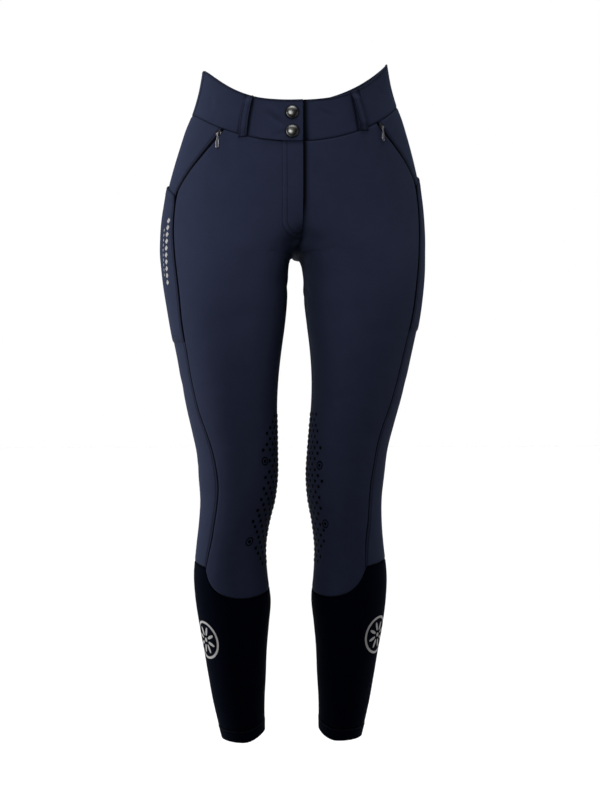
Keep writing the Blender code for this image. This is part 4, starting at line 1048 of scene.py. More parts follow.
def belt_loop(name, side, top, bottom):
    """A folded strap, rounded at its edges, with a shallow channel between its two rows of stitching."""
    patch = LoopPatch(side, top, bottom)
    stand = patch.stand(patch.share)
    edge = patch.near("start", "end", "low", "high")
    fold = rounding(edge, LOOP_CLOTH * FOLD_SHARE)
    channel = sunk_line(patch.near("start", "end"), LOOP_STITCH)
    outer = stand + LOOP_CLOTH - fold - 0.00025 * channel
    # Painted shade along the stitched channel and round the strap's edges, which gives the strap a dark outline.
    cloth_shell(name, patch, outer, stand + fold, 0.4 * channel + 0.7 * seam_shade(edge * 1.6))


# ================================================================ small repeated forms


def circle(count):
    """Angles of evenly spread places round a circle."""
    return np.linspace(0, 2 * math.pi, count, endpoint=False)


def signed_power(values, power):
    """Values raised to a power with their signs kept: it squares up or sharpens a round outline."""
    return np.sign(values) * np.abs(values) ** power


def copies(template, faces, places, along, across, out):
    """One template, given as (along, across, out), at every place, in that place's own three directions."""
    axes = np.stack([along, across, out], axis=1)
    points = places[:, None] + np.einsum("kj,mjc->mkc", template, axes)
    shift = (np.arange(len(places)) * len(template))[:, None, None]
    return points.reshape(-1, 3), [(group[None] + shift).reshape(-1, group.shape[1]) for group in faces]


def capped(points, ends, rings, around):
    """Stacked rings of points as a closed form, with an end point for each end."""
    return np.vstack([points.reshape(-1, 3), ends]), ring_faces(rings, around)


def joined(parts):
    """Several closed forms as one set of points and faces."""
    shift, points, groups = 0, [], {}
    for found, faces in parts:
        for group in faces:
            groups.setdefault(group.shape[1], []).append(group + shift)
        points.append(found)
        shift += len(found)
    return np.vstack(points), [np.vstack(group) for group in groups.values()]


def cells(index):
    """The four-cornered faces of a grid of points."""
    return np.stack([index[:-1, :-1], index[:-1, 1:], index[1:, 1:], index[1:, :-1]], axis=-1).reshape(-1, 4)


def ring_faces(rings, around):
    """Faces of stacked rings of points, closed by a bottom and a top point that follow them."""
    index = np.arange(rings * around).reshape(rings, around)
    index = np.hstack([index, index[:, :1]])
    bottom, top = np.full(around, index.max() + 1), np.full(around, index.max() + 2)
    caps = [np.stack([index[0, 1:], index[0, :-1], bottom], axis=-1)]
    caps += [np.stack([index[-1, :-1], index[-1, 1:], top], axis=-1)]
    return [cells(index), np.vstack(caps)]


def stacked(radii, heights, around, bottom, top):
    """A round closed form: rings of these radii at these heights about the out axis, with two end points."""
    turn, radii, heights = circle(around), np.array(radii)[:, None], np.array(heights)[:, None]
    points = np.stack([radii * np.cos(turn), radii * np.sin(turn), heights + 0 * turn], axis=-1)
    return capped(points, [[0, 0, bottom], [0, 0, top]], len(radii), around)


def grain(size, width, height):
    """A stitch: rings along its length whose width follows a half ellipse, closed to a point at both ends."""
    reach = np.array([-0.82, -0.4, 0.0, 0.4, 0.82])
    points, faces = stacked(np.sqrt(1 - reach**2), reach, 6, -1.0, 1.0)
    return points[:, [2, 0, 1]] * np.array([size, width, height]) / 2, faces


def runs(points, out, pitch):
    """Places at an even pitch along a line of points, with the line's direction and the way out at each."""
    reach = arc_length(points[None])[0]
    marks = np.arange(pitch / 2, reach[-1] - pitch / 4, pitch)
    sample = lambda values: np.stack([np.interp(marks, reach, values[:, k]) for k in range(3)], axis=-1)
    places, way_out = sample(points), sample(out)
    along = sample(np.gradient(points, axis=0))
    along /= np.linalg.norm(along, axis=-1, keepdims=True)
    across = np.cross(way_out, along)
    across /= np.linalg.norm(across, axis=-1, keepdims=True)
    return places, along, across, np.cross(along, across)


def sew(name, found, size, width, height):
    """One stitch at every place found along some lines, as one piece."""
    places = [np.vstack([line[k] for line in found]) for k in range(4)]
    add_piece(name, *copies(*grain(size, width, height), *places), sewing_thread(), "navy_stretch_cloth")


def stitches(name, lines, sewing, pitch=None, size=None):
    """Stitches along lines on the cloth, each given as side, angles, heights and distance off the surface."""
    found = [runs(*on_cloth(*(np.broadcast_arrays(*line))), pitch or sewing.pitch) for line in lines]
    sew(name, found, size or sewing.stitch, sewing.width, sewing.width * 0.9)


# ================================================================ sewing

# How far a thread's middle stands off, how far from other edges a seam's stitching stops, and closer pitches.
THREAD_LIFT, STITCH_STOP, CLOSE_PITCH, TACK_PITCH = 0.0001, 0.004, 0.0026, 0.0011
# Distances of a bar tack's lines from the end of a belt loop.
TACK_LINES = (0.0012, 0.0021, 0.0030)
# A pocket's four lines of stitching: distance from its edge, and which edge.
POCKET_LINES = ((0.0025, "low"), (0.0080, "low"), (0.0025, "high"), (0.0100, "high"))


def fly_line(inset):
    """One topstitched J: down beside the fly, round its corner on a quarter circle, and in to centre front."""
    bottom, radius, distance = FLY_BOTTOM_Z + inset, FLY_CORNER_RADIUS - inset, FLY_WIDTH - inset
    top = float(band_seam(np.array(8.0))) - 0.001
    down = np.linspace(top, bottom + radius, 40)
    turn = np.linspace(0, math.pi / 2, 30)[1:]
    inward = np.linspace(distance - radius, 0.0015, 12)[1:]
    x = np.concatenate([distance + 0 * down, distance - radius + radius * np.cos(turn), inward])
    z = np.concatenate([down, bottom + radius - radius * np.sin(turn), bottom + 0 * inward])
    return RIGHT, front_angle(x, z), z, float(fly_lift(np.array(inset))) + THREAD_LIFT


def beside_seam(side, seam, offset, low, high, lift):
    """A line beside a side seam, at an offset round the leg."""
    z = np.linspace(low, high, 160)
    return side, walk(side, seam(z), z, offset), z, lift


def pocket_line(side, from_edge, edge):
    """A line across a phone pocket at a distance from its bottom or its mouth."""
    share = np.linspace(0.03, 0.97, 60)
    if edge == "low":
        z = POCKET_BOTTOM_Z + POCKET_BOTTOM_RISE * share + from_edge
    else:
        z = mouth_height(share) - from_edge
    lift = POCKET_LIFT + (pocket_gape(share, from_edge) if edge == "high" else 0.0)
    return side, front_seam(z) + (back_seam(z) - front_seam(z)) * share, z, lift + THREAD_LIFT


def all_sewing(sewing):
    """Topstitching of the waistband, the fly, the side seams, the pockets, the hems and the belt loops."""
    _, side_stop, _ = band_stops()
    from_side = 0.8
    right, left = (np.linspace(start, side_stop - from_side, 200) for start in (0.8, 0.3))
    reach = 180 - side_stop - from_side
    back = across_back(np.linspace(-reach, reach, 400))
    runs_round = ((RIGHT, right, tab_lift(right)), (LEFT, left, 0.0), (*back, 0.0))
    band = [(side, angle, band_top(angle) - BAND_STITCH, lift) for side, angle, lift in runs_round]
    stitches("stitches_waistband", band, sewing)
    stitches("stitches_fly", [fly_line(inset) for inset in FLY_LINES], sewing, pitch=CLOSE_PITCH, size=0.0022)
    for side, name in SIDES.items():
        spans = (
            (sock_edge(34.0) + STITCH_STOP, POCKET_BOTTOM_Z - STITCH_STOP, THREAD_LIFT - TOPSTITCH_DEPTH),
            (POCKET_BOTTOM_Z + STITCH_STOP, POCKET_MOUTH_Z - STITCH_STOP, POCKET_LIFT),
        )
        seams = [beside_seam(side, front_seam, TOPSTITCH, *span) for span in spans]
        stitches(f"stitches_side_seam_{name}", seams, sewing)
        stitches(f"stitches_phone_pocket_{name}", [pocket_line(side, *where) for where in POCKET_LINES], sewing)
        turn = np.linspace(-90, 270, 240)
        hem = [(side, turn, hem_edge(turn) + HEM_DEPTH - 0.0020, HEM_STEP)]
        stitches(f"stitches_sock_hem_{name}", hem, sewing, pitch=CLOSE_PITCH, size=0.0021)
    for name, side, top, bottom in LOOPS:
        loop_stitches(name, side, top, bottom, sewing)


def loop_stitches(name, side, top, bottom, sewing):
    """Two rows along a belt loop, and a bar tack of close stitches across each end."""
    patch = LoopPatch(side, top, bottom)
    points = patch.points(patch.stand(patch.share) + LOOP_CLOTH - 0.0002)
    out = patch.ground[1]
    columns = [int(np.argmin(np.abs(patch.across[0] - d))) for d in (LOOP_STITCH, LOOP_WIDTH - LOOP_STITCH)]
    inside = slice(6, len(points) - 6)
    found = [runs(points[inside, c], out[inside, c], CLOSE_PITCH) for c in columns]
    for from_end in TACK_LINES:
        for edge in ("low", "high"):
            row = int(np.argmin(np.abs(patch.edges[edge][:, 0] - from_end)))
            found.append(runs(points[row, 2:-2], out[row, 2:-2], TACK_PITCH))
    sew(f"stitches_{name}", found, 0.0020, sewing.width * 0.9, sewing.width * 0.8)


# ================================================================ grip dots and ornaments

# The silicone grip's patch on each inner knee: the angles of its front edges, and its reach behind the inseam.
GRIP_COLUMNS = ("z", "right", "left", "back")
GRIP = (
    (-0.652, -62.0, -62.0, 0.018),
    (-0.640, -49.0, -49.0, 0.030),
    (-0.615, -34.0, -39.5, 0.040),
    (-0.588, -26.0, -39.5, 0.044),
    (-0.560, -31.0, -41.5, 0.050),
    (-0.525, -33.5, -40.5, 0.055),
    (-0.495, -34.0, -43.0, 0.056),
    (-0.478, -33.0, -45.0, 0.052),
    (-0.455, -44.5, -52.0, 0.042),
    (-0.430, -57.0, -61.0, 0.028),
)
# Plain rings in the grip: side, angle and height.
GRIP_RINGS = ((RIGHT, -37.0, -0.498), (RIGHT, -34.0, -0.614), (LEFT, -47.0, -0.507), (LEFT, -40.0, -0.591))
RING_RADIUS, RING_WIRE, RING_HEIGHT = 0.0056, 0.0009, 0.0004
# How far the dots stay from the grip's lower edge and from the inseam, and how deep their feet reach in.
GRIP_INSET, INSEAM_INSET, DOT_ROOT = 0.004, 0.0030, -0.0002


def grip(side, trims):
    """Rows of low silicone dots, every other row set over by half a pitch, and a dot inside each ring."""
    heights = np.arange(GRIP[0][0] + GRIP_INSET, GRIP[-1][0], trims.dot_drop)
    steps = (np.arange(-8, 9)[None, :] + 0.5 * (np.arange(len(heights)) % 2)[:, None] + 0.25) * trims.dot_pitch
    z = heights[:, None] + 0 * steps
    angle = walk(side, np.where(steps < 0, 270.0, -90.0), z, steps)
    keep = (angle < smooth(z, GRIP, GRIP_COLUMNS, SIDES[side])) | (steps < 0)
    keep &= (steps > -smooth(z, GRIP, GRIP_COLUMNS, "back")) & (np.abs(steps) > INSEAM_INSET)
    rings = [(ring_angle, ring_z) for ring_side, ring_angle, ring_z in GRIP_RINGS if ring_side == side]
    for ring_angle, ring_z in rings:
        scale = float(normal_and_scale(side, np.array(ring_angle), np.array(ring_z))[1])
        keep &= np.hypot(z - ring_z, (angle - ring_angle) * scale) > RING_RADIUS + RING_WIRE + trims.dot * 0.7
    angle = np.append(angle[keep], [ring_angle for ring_angle, _ in rings])
    places, out = on_cloth(side, angle, np.append(z[keep], [ring_z for _, ring_z in rings]), 0.0)
    along = np.cross(out, [0.0, 0.0, 1.0])
    along /= np.linalg.norm(along, axis=-1, keepdims=True)
    r, h = trims.dot / 2, trims.dot_height
    climb = [DOT_ROOT, h * 0.55, h * 0.92, h]
    dot, faces = stacked([r, r * 0.97, r * 0.86, r * 0.60], climb, 12, DOT_ROOT - 0.0001, h)
    dots = copies(dot, faces, places, along, np.cross(out, along), out)
    add_piece(f"grip_dots_{SIDES[side]}", *dots, silicone_rubber())
    profile = RING_WIRE * np.cos(circle(8)), RING_HEIGHT * np.sin(circle(8))
    hoops = joined([hoop(side, *home, RING_RADIUS, profile, 28) for home in rings])
    add_piece(f"grip_rings_{SIDES[side]}", *hoops, silicone_rubber())


def hoop(side, angle, z, radius, profile, count):
    """A closed ring that lies on the cloth round one place, its section given as distances out and up."""
    out, up = profile
    turn = circle(count)[:, None]
    height = z + (radius + out) * np.sin(turn)
    points, _ = on_cloth(side, walk(side, angle, height, (radius + out) * np.cos(turn)), height, up + 0 * turn)
    return points.reshape(-1, 3), [loop_faces(count, len(up))]


def loop_faces(around, section):
    """Faces of rings of points that close both ways."""
    return cells(np.pad(np.arange(around * section).reshape(around, section), ((0, 1), (0, 1)), mode="wrap"))


# The printed film's thickness, and how deep its edge is rooted in the cloth.
FILM, FILM_ROOT = 0.00012, -0.0002


def motifs(side, centres, outline):
    """Flat printed shapes that follow the cloth, as points and faces.

    outline gives each shape's reach from its centre for every direction, as arrays across and up. Rings of
    points scale that outline down to the centre, and the film's edge turns into the cloth.
    """
    scales = np.array([1.0, 1.0, 0.94, 0.66, 0.33])[:, None]
    lifts = np.array([FILM_ROOT, FILM * 0.6, FILM, FILM, FILM])[:, None]
    parts = []
    for k, (angle, z, base) in enumerate(centres):
        across, up = outline(k)
        place = walk(side, angle, z + up * scales, across * scales)
        points, _ = on_cloth(side, place, z + up * scales, base + lifts + 0 * up)
        middles, _ = on_cloth(side, np.full(2, angle), np.full(2, z), base + np.array([FILM_ROOT, FILM]))
        parts.append(capped(points, middles, len(scales), len(up)))
    return parts


def ellipse(width, height, turn=0.0, count=24, power=1.0):
    """Outline of an ellipse, or of a lozenge at power 2, turned by an angle."""
    t = circle(count)
    x, y = width / 2 * signed_power(np.cos(t), power), height / 2 * signed_power(np.sin(t), power)
    return x * math.cos(turn) - y * math.sin(turn), x * math.sin(turn) + y * math.cos(turn)


# A run of lozenges up the right phone pocket, with a row of short bars beside it.
PRINT_ANGLE, PRINT_LOW_Z, PRINT_HIGH_Z, PRINT_LOZENGES = 70.0, -0.238, -0.150, 10
LOZENGE_WIDTH, LOZENGE_HEIGHT, BAR_WIDTH, BAR_HEIGHT, BAR_OFFSET = 0.0100, 0.0076, 0.0022, 0.0042, 0.0130


def pocket_print():
    """Lozenges and bars, printed in silver on the wearer's right pocket."""
    z = np.linspace(PRINT_LOW_Z, PRINT_HIGH_Z, PRINT_LOZENGES)
    centres = [(PRINT_ANGLE, float(h), POCKET_LIFT) for h in z]
    parts = motifs(RIGHT, centres, lambda k: ellipse(LOZENGE_WIDTH, LOZENGE_HEIGHT, power=1.7))
    z = np.linspace(PRINT_LOW_Z + 0.012, PRINT_HIGH_Z - 0.012, PRINT_LOZENGES)
    angle = walk(RIGHT, PRINT_ANGLE, z, BAR_OFFSET)
    centres = [(float(a), float(h), POCKET_LIFT) for a, h in zip(angle, z)]
    parts += motifs(RIGHT, centres, lambda k: ellipse(BAR_WIDTH, BAR_HEIGHT, power=0.6))
    add_piece("print_pocket", *joined(parts), silver_film())


# A rosette in a ring on the outer front of each sock: its place, and the sizes of its ring and its petals.
ROSETTES = {RIGHT: (48.0, -0.758), LEFT: (68.0, -0.753)}
BAND_RADIUS, BAND_WIDTH = 0.0258, 0.0034
PETALS, PETAL_MIDDLE, PETAL_LENGTH, PETAL_WIDTH, BUTTON_RADIUS = 8, 0.0134, 0.0130, 0.0042, 0.0030


def rosette(side):
    """Slim petals round a small button, inside a plain ring."""
    angle, z = ROSETTES[side]
    turn = np.arange(PETALS) * 2 * math.pi / PETALS + math.pi / PETALS
    heights = z + PETAL_MIDDLE * np.sin(turn)
    angles = walk(side, angle, heights, PETAL_MIDDLE * np.cos(turn))
    centres = [(float(a), float(h), 0.0) for a, h in zip(angles, heights)] + [(angle, z, 0.0)]

    def outline(k):
        if k == PETALS:
            return ellipse(BUTTON_RADIUS * 2, BUTTON_RADIUS * 2)
        return ellipse(PETAL_LENGTH, PETAL_WIDTH, turn[k], power=0.9)

    half = BAND_WIDTH / 2
    lifts = np.array([FILM_ROOT, FILM, FILM, FILM, FILM_ROOT, FILM_ROOT - 0.0001])
    profile = np.array([-1, -0.94, 0, 0.94, 1, 0]) * half, lifts
    parts = motifs(side, centres, outline) + [hoop(side, angle, z, BAND_RADIUS, profile, 72)]
    add_piece(f"print_rosette_{SIDES[side]}", *joined(parts), silver_film())


# ================================================================ zips and snaps

SLIDER_DROP = 0.0065
SLIDER_LENGTH, SLIDER_WIDTH, SLIDER_FLOOR, SLIDER_TOP = 0.0090, 0.0062, 0.0005, 0.0020
PIN_HEIGHT, PIN_RADIUS, PIN_DOWN = 0.0038, 0.0005, 0.0010
EAR_INNER, EAR_THICK, EAR_HALF, EAR_TOP = 0.0016, 0.0008, 0.0011, 0.0047
EYE_RADIUS, EYE_HOLE, EYE_HALF_WIDTH = 0.00135, 0.00085, 0.0012
PULL_LENGTH, PULL_HALF_WIDTH, PULL_NECK, PULL_CLOTH = 0.0200, 0.0026, 0.0011, 0.0012
PULL_LEAN = math.radians(4.5)
ZIP_HALF_WIDTH, ZIP_DEPTH, TAPE_TOP, TAPE_BACK = 0.0017, 0.0003, 0.0004, 0.0012
COIL_PITCH, COIL_WIDTH, COIL_HEIGHT, COIL_DEPTH = 0.0011, 0.0026, 0.0010, 0.0002
SNAP_X, SNAP_HEIGHTS = -0.0148, {"snap_top": -0.0176, "snap_bottom": -0.0440}
SNAP_RADIUS, SNAP_HEIGHT = 0.0085, 0.0040


def tangent_frame(side, angle, z, lift):
    """A point off the plain surface, with the directions across, down the cloth and out of it."""
    out, _ = normal_and_scale(side, np.array(angle), np.array(z))
    origin = ring(side, angle, z) + out * lift
    down = np.array([0.0, 0.0, -1.0])
    down = down - out * (down @ out)
    down /= np.linalg.norm(down)
    return origin, np.cross(out, down), down, out


def placed(points, origin, across, down, out):
    """Points given as (across, down, out), in the world."""
    return origin + points[:, :1] * across + points[:, 1:2] * down + points[:, 2:] * out


def metal_piece(name, points, faces, place, look, node, body="garment"):
    """A small metal form, given in its own directions, in place of its node."""
    slot = "gunmetal_plated_brass"
    add_piece(name, placed(points, *place), faces, look, slot, body=body, replaces=[node], sharp=60)


def pocket_zip(side):
    """The zip in the slash pocket: a strip of tape sunk in the seam, with the coil's turns across it."""
    name = SIDES[side]
    top = float(band_seam(np.array(seam_angle(front_seam, band_seam)))) - SEAM_HALF_GAP * 2
    z = np.linspace(HIP_Z, top, 60)[:, None]
    offsets = np.array([-1.0, -0.8, -0.4, 0.0, 0.4, 0.8, 1.0]) * ZIP_HALF_WIDTH
    angle = front_seam(z) + offsets / normal_and_scale(side, front_seam(z), z)[1]
    faces_of = [on_cloth(side, angle, z + 0 * angle, -ZIP_DEPTH - depth)[0] for depth in (TAPE_TOP, TAPE_BACK)]
    points = np.vstack([found.reshape(-1, 3) for found in faces_of])
    faces = shell_faces(np.arange(angle.size).reshape(angle.shape), angle.size, False)
    add_piece(f"zip_tape_{name}", points, faces, zip_tape(), "zip_tape_and_coil", replaces=[f"pocket_zip_{name}"])
    z = np.linspace(HIP_Z + 0.001, top - 0.001, 200)
    places, along, across, out = runs(*on_cloth(side, front_seam(z), z, -ZIP_DEPTH - COIL_DEPTH), COIL_PITCH)
    turns = copies(*grain(COIL_WIDTH, COIL_PITCH * 0.8, COIL_HEIGHT), places, across, along, out)
    add_piece(f"zip_coil_{name}", *turns, coil_nylon(), "zip_tape_and_coil")


def slider_frame(side):
    """The zip slider's frame: on the front side seam, just under the waistband."""
    z = float(band_seam(np.array(seam_angle(front_seam, band_seam)))) - SLIDER_DROP
    return tangent_frame(side, float(front_seam(z)), z, 0.0), z


def oval_form(half_width, half_length, heights, scales, power=2.4, around=40):
    """A closed form of stacked superellipses, each at its own height and scale."""
    x, y = ellipse(half_width * 2, half_length * 2, count=around, power=2 / power)
    scales, heights = np.array(scales)[:, None], np.array(heights)[:, None]
    points = np.stack([x * scales, y * scales, heights + 0 * x], axis=-1)
    return capped(points, [[0, 0, heights[0, 0]], [0, 0, heights[-1, 0]]], len(heights), around)


def zip_slider(side):
    """An oval body with a waist between its two plates, two ears, and the pin that the pull swings on."""
    (origin, across, down, out), z = slider_frame(side)
    ahead = ring(side, float(front_seam(z - 0.004)), z - 0.004) - origin
    lean = math.atan2(float(ahead @ across), float(ahead @ down))
    floor, top = SLIDER_FLOOR, SLIDER_TOP
    heights = [floor + step for step in (0, 0.0001, 0.0005, 0.0007)]
    heights += [top - step for step in (0.0006, 0.0004, 0.0001, 0, 0)]
    scales = [0.93, 1.0, 1.0, 0.86, 0.86, 1.0, 1.0, 0.94, 0.4]
    body, faces = oval_form(SLIDER_WIDTH / 2, SLIDER_LENGTH / 2, heights, scales)
    cos, sin = math.cos(lean), math.sin(lean)
    parts = [(body @ np.array([[cos, -sin, 0], [sin, cos, 0], [0, 0, 1]]), faces)]
    heights = [top - 0.0003, top + 0.0009, EAR_TOP - 0.0006, EAR_TOP - 0.0002, EAR_TOP]
    ear, faces = oval_form(EAR_THICK / 2, EAR_HALF, heights, [1.35, 1.0, 1.0, 0.8, 0.4], power=3.0, around=20)
    parts += [(ear + [k * (EAR_INNER + EAR_THICK / 2), PIN_DOWN, 0], faces) for k in (-1, 1)]
    reach = EAR_INNER + EAR_THICK * 1.15
    radii, heights = np.array([0.8, 1, 1, 0.8]) * PIN_RADIUS, [-reach, -reach + 0.0001, reach - 0.0001, reach]
    pin, faces = stacked(radii, heights, 16, -reach, reach)
    parts.append((pin[:, [2, 0, 1]] + [0, PIN_DOWN, PIN_HEIGHT], faces))
    name = f"slider_{SIDES[side]}"
    metal_piece(name, *joined(parts), (origin, across, down, out), gunmetal(), f"zip_{name}")


def pull_half_width(share):
    """Half width of the pull along its length: a narrow neck that swells into a drop with a round end."""
    swell = PULL_NECK + (PULL_HALF_WIDTH - PULL_NECK) * ease((share - 0.16) / 0.5)
    radius_share = PULL_HALF_WIDTH / PULL_LENGTH
    tip = np.clip((share - (1 - radius_share)) / radius_share, 0, 0.97)
    return swell * np.sqrt(1 - tip**2)


def zip_pull(side):
    """The drop-shaped pull tab, softly rounded, with a shallow hollow on both faces and its eye on the pin."""
    (origin, across, down, out), _ = slider_frame(side)
    pivot = origin + down * PIN_DOWN + out * PIN_HEIGHT
    lie = down * math.cos(PULL_LEAN) - out * math.sin(PULL_LEAN)
    rise = out * math.cos(PULL_LEAN) + down * math.sin(PULL_LEAN)
    eye_end = EYE_RADIUS * 0.8 / PULL_LENGTH
    share = np.concatenate([[eye_end], np.linspace(0.13, 0.86, 26), np.linspace(0.88, 0.996, 9)])[:, None]
    t = circle(32)
    wide = pull_half_width(share) * signed_power(np.cos(t), 0.55)
    hollow = ease((share - 0.42) / 0.12) * ease((0.90 - share) / 0.08) * ease((0.62 - np.abs(np.cos(t))) / 0.3)
    thick = PULL_CLOTH / 2 * signed_power(np.sin(t), 0.45) * (1 - 0.30 * hollow)
    points = np.stack([wide, share * PULL_LENGTH + 0 * t, thick], axis=-1)
    plate = capped(points, [[0, eye_end * PULL_LENGTH, 0], [0, PULL_LENGTH, 0]], len(share), len(t))
    turn, tube = circle(28)[:, None], circle(12)
    radius = (EYE_RADIUS + EYE_HOLE) / 2 + (EYE_RADIUS - EYE_HOLE) / 2 * np.cos(tube)
    reach = EYE_HALF_WIDTH * signed_power(np.sin(tube), 0.5)
    points = np.stack([reach + 0 * turn, radius * np.cos(turn), radius * np.sin(turn)], axis=-1).reshape(-1, 3)
    quads = loop_faces(len(turn), len(tube))
    if volume(points, quads) < 0:
        quads = quads[:, ::-1]
    name, body = f"pull_{SIDES[side]}", f"zip_pull_{SIDES[side]}"
    metal_piece(name, *joined([plate, (points, [quads])]), (pivot, across, lie, rise), bright_nickel(), body, body)


def snap(node, z):
    """A domed cap: a short wall with a rounded rim, and a dome that rises as a quarter of an ellipse."""
    angle = math.degrees(math.asin(abs(SNAP_X) / float(smooth(z, SECTIONS, SECTION_COLUMNS, "x_out"))))
    place = tangent_frame(RIGHT, angle, z, TAB_LIFT + LAY_GAP * 1.4)
    r, h = SNAP_RADIUS, SNAP_HEIGHT
    rim = [(0.92, 0.0), (0.98, 0.05), (1.0, 0.13), (0.985, 0.21), (0.95, 0.25), (0.925, 0.25)]
    climb = np.linspace(0.06, math.pi / 2, 15)[:-1]
    dome = [(0.91 * math.cos(c), 0.24 + 0.76 * math.sin(c)) for c in climb]
    radii, heights = zip(*((a * r, b * h) for a, b in rim + dome))
    metal_piece(f"cap_{node}", *stacked(radii, heights, 48, 0.0, h), place, gunmetal(), node)


# ================================================================ finishes


def node(tree, kind, values=None, links=None, **settings):
    """Adds a node: settings are its own properties, values its sockets' numbers, links its sockets' sources."""
    made = tree.nodes.new(kind)
    for name, value in settings.items():
        setattr(made, name, value)
    for name, value in (values or {}).items():
        made.inputs[name].default_value = value
    for name, source in (links or {}).items():
        tree.links.new(source, made.inputs[name])
    return made


def finish(name, build, **sockets):
    """A Principled material made once; build(tree, shader) adds its pattern, sockets hold its plain numbers."""
    found = bpy.data.materials.get(name)
    if found:
        return found
    made = bpy.data.materials.new(name)
    made.use_nodes = True
    shader = made.node_tree.nodes["Principled BSDF"]
    for socket, value in sockets.items():
        shader.inputs[socket.replace("_", " ")].default_value = value
    build(made.node_tree, shader)
    return made


def rgba(value, share=1.0):
    return (*(c * share for c in value), 1.0)


# Widths of the cloth's patches of tone, about 29 mm, and of its yarn's slubs, about 1.1 mm.
PATCH_WIDTH, SLUB_WIDTH = 1 / 34, 1 / 900


def ribbed(tree, shader, base, direction, pitch, depth, mottle):
    """Cloth's pattern: fine ribs as bump along one direction of its own map, a faint mottle of tone, and painted
    shade.

    A wave texture repeats every 2 pi / (20 scale), so its scale is 2 pi / (20 pitch). The real ribs lie about
    0.4 mm apart and the yarn is thinner still. Both are too fine to show, so they are drawn coarser.
    """
    place = {"Vector": node(tree, "ShaderNodeUVMap", uv_map="cloth").outputs["UV"]}
    ribs = {"Scale": 2 * math.pi / (20 * pitch), "Distortion": 0.6, "Detail": 1.0, "Detail Scale": 3.0}
    wave = node(tree, "ShaderNodeTexWave", ribs, place, bands_direction=direction)
    cloud = node(tree, "ShaderNodeTexNoise", {"Scale": 1 / PATCH_WIDTH, "Detail": 5.0, "Roughness": 0.62}, place)
    yarn = node(tree, "ShaderNodeTexNoise", {"Scale": 1 / SLUB_WIDTH, "Detail": 2.0, "Roughness": 0.6}, place)
    # Painted shade: the shade attribute darkens the base colour beside seams, edges, snaps and loops, down to a
    # twentieth.
    seams = node(tree, "ShaderNodeAttribute", attribute_name="shade")
    factors = []
    for source, span in (
        (cloud, {"From Min": 0.3, "From Max": 0.7, "To Min": 1 - mottle, "To Max": 1 + mottle}),
        (wave, {"To Min": 0.90, "To Max": 1.06}),
        (seams, {"To Min": 1.0, "To Max": 0.05}),
    ):
        factors.append(node(tree, "ShaderNodeMapRange", span, {"Value": source.outputs["Fac"]}).outputs["Result"])
    product = factors[0]
    for factor in factors[1:]:
        product = node(tree, "ShaderNodeMath", links={0: product, 1: factor}, operation="MULTIPLY").outputs["Value"]
    shade = node(tree, "ShaderNodeVectorMath", {0: base}, {"Scale": product}, operation="SCALE")
    tree.links.new(shade.outputs["Vector"], shader.inputs["Base Color"])
    sources = {0: yarn.outputs["Fac"], 2: wave.outputs["Fac"]}
    height = node(tree, "ShaderNodeMath", {1: 0.6}, sources, operation="MULTIPLY_ADD").outputs["Value"]
    bump = node(tree, "ShaderNodeBump", {"Strength": 0.35, "Distance": depth}, {"Height": height})
    tree.links.new(bump.outputs["Normal"], shader.inputs["Normal"])


def cloth_finish(name, direction, base, pitch, depth, mottle, level, sheen):
    """A ribbed cloth: matt, with little reflection and a soft tinted sheen."""
    tint = rgba(bpy.context.scene.breeches_cloth.sheen)
    return finish(
        name, lambda tree, shader: ribbed(tree, shader, base, direction, pitch, depth, mottle), Roughness=0.85,
        IOR=1.5, Specular_IOR_Level=level, Sheen_Weight=sheen, Sheen_Roughness=0.45, Sheen_Tint=tint,
    )


def navy_cloth():
    """Nylon and elastane, woven with a stretch weft: matt and smooth, with fine level ribs and a soft blue sheen."""
    cloth = bpy.context.scene.breeches_cloth
    return cloth_finish("nylon_elastane_weave", "Y", cloth.navy, cloth.rib_pitch, 0.00012, 0.05, 0.03, 0.05)


def sock_knit():
    """Elastic rib knit in nearly black navy: upright fine ribs, less sheen than the woven cloth."""
    cloth = bpy.context.scene.breeches_cloth
    return cloth_finish("elastic_rib_knit", "X", cloth.knit, cloth.course_pitch, 0.00016, 0.06, 0.01, 0.02)


def grained(name, base, grain_mm, tone, rough, **sockets):
    """A finish with a fine grain on object coordinates, which shifts its tone and its roughness a little.

    grain_mm is the grain's width. tone holds the least and the greatest share of the base colour, and rough the
    least and the greatest roughness.
    """

    def build(tree, shader):
        place = {"Vector": node(tree, "ShaderNodeTexCoord").outputs["Object"]}
        grain = {"Scale": 1000 / grain_mm, "Detail": 4.0, "Roughness": 0.6}
        value = {"Value": node(tree, "ShaderNodeTexNoise", grain, place).outputs["Fac"]}
        lightness, roughness = (
            node(tree, "ShaderNodeMapRange", {"To Min": low, "To Max": high}, value).outputs["Result"]
            for low, high in (tone, rough)
        )
        shade = node(tree, "ShaderNodeVectorMath", {0: base}, {"Scale": lightness}, operation="SCALE")
        tree.links.new(shade.outputs["Vector"], shader.inputs["Base Color"])
        tree.links.new(roughness, shader.inputs["Roughness"])

    return finish(name, build, **sockets)


def sewing_thread():
    """Twisted polyester thread: a little smoother than the cloth, so it catches a thin light."""
    base = bpy.context.scene.breeches_sewing.thread
    return grained("polyester_thread", base, 0.3846, (0.7, 1.3), (0.48, 0.66), IOR=1.5, Specular_IOR_Level=0.1)


def silicone_rubber():
    """Printed silicone: black drops cured with a soft satin skin, which hardly shine from the side."""
    base = bpy.context.scene.breeches_trims.silicone
    return grained("printed_silicone", base, 0.6667, (0.8, 1.2), (0.45, 0.6), IOR=1.41, Specular_IOR_Level=0.02)


def silver_film():
    """Heat-pressed film in pale silver grey, with a fine powdery grain."""
    base = bpy.context.scene.breeches_trims.film
    return grained("pressed_silver_film", base, 0.3125, (0.86, 1.12), (0.42, 0.60), IOR=1.5, Specular_IOR_Level=0.4)


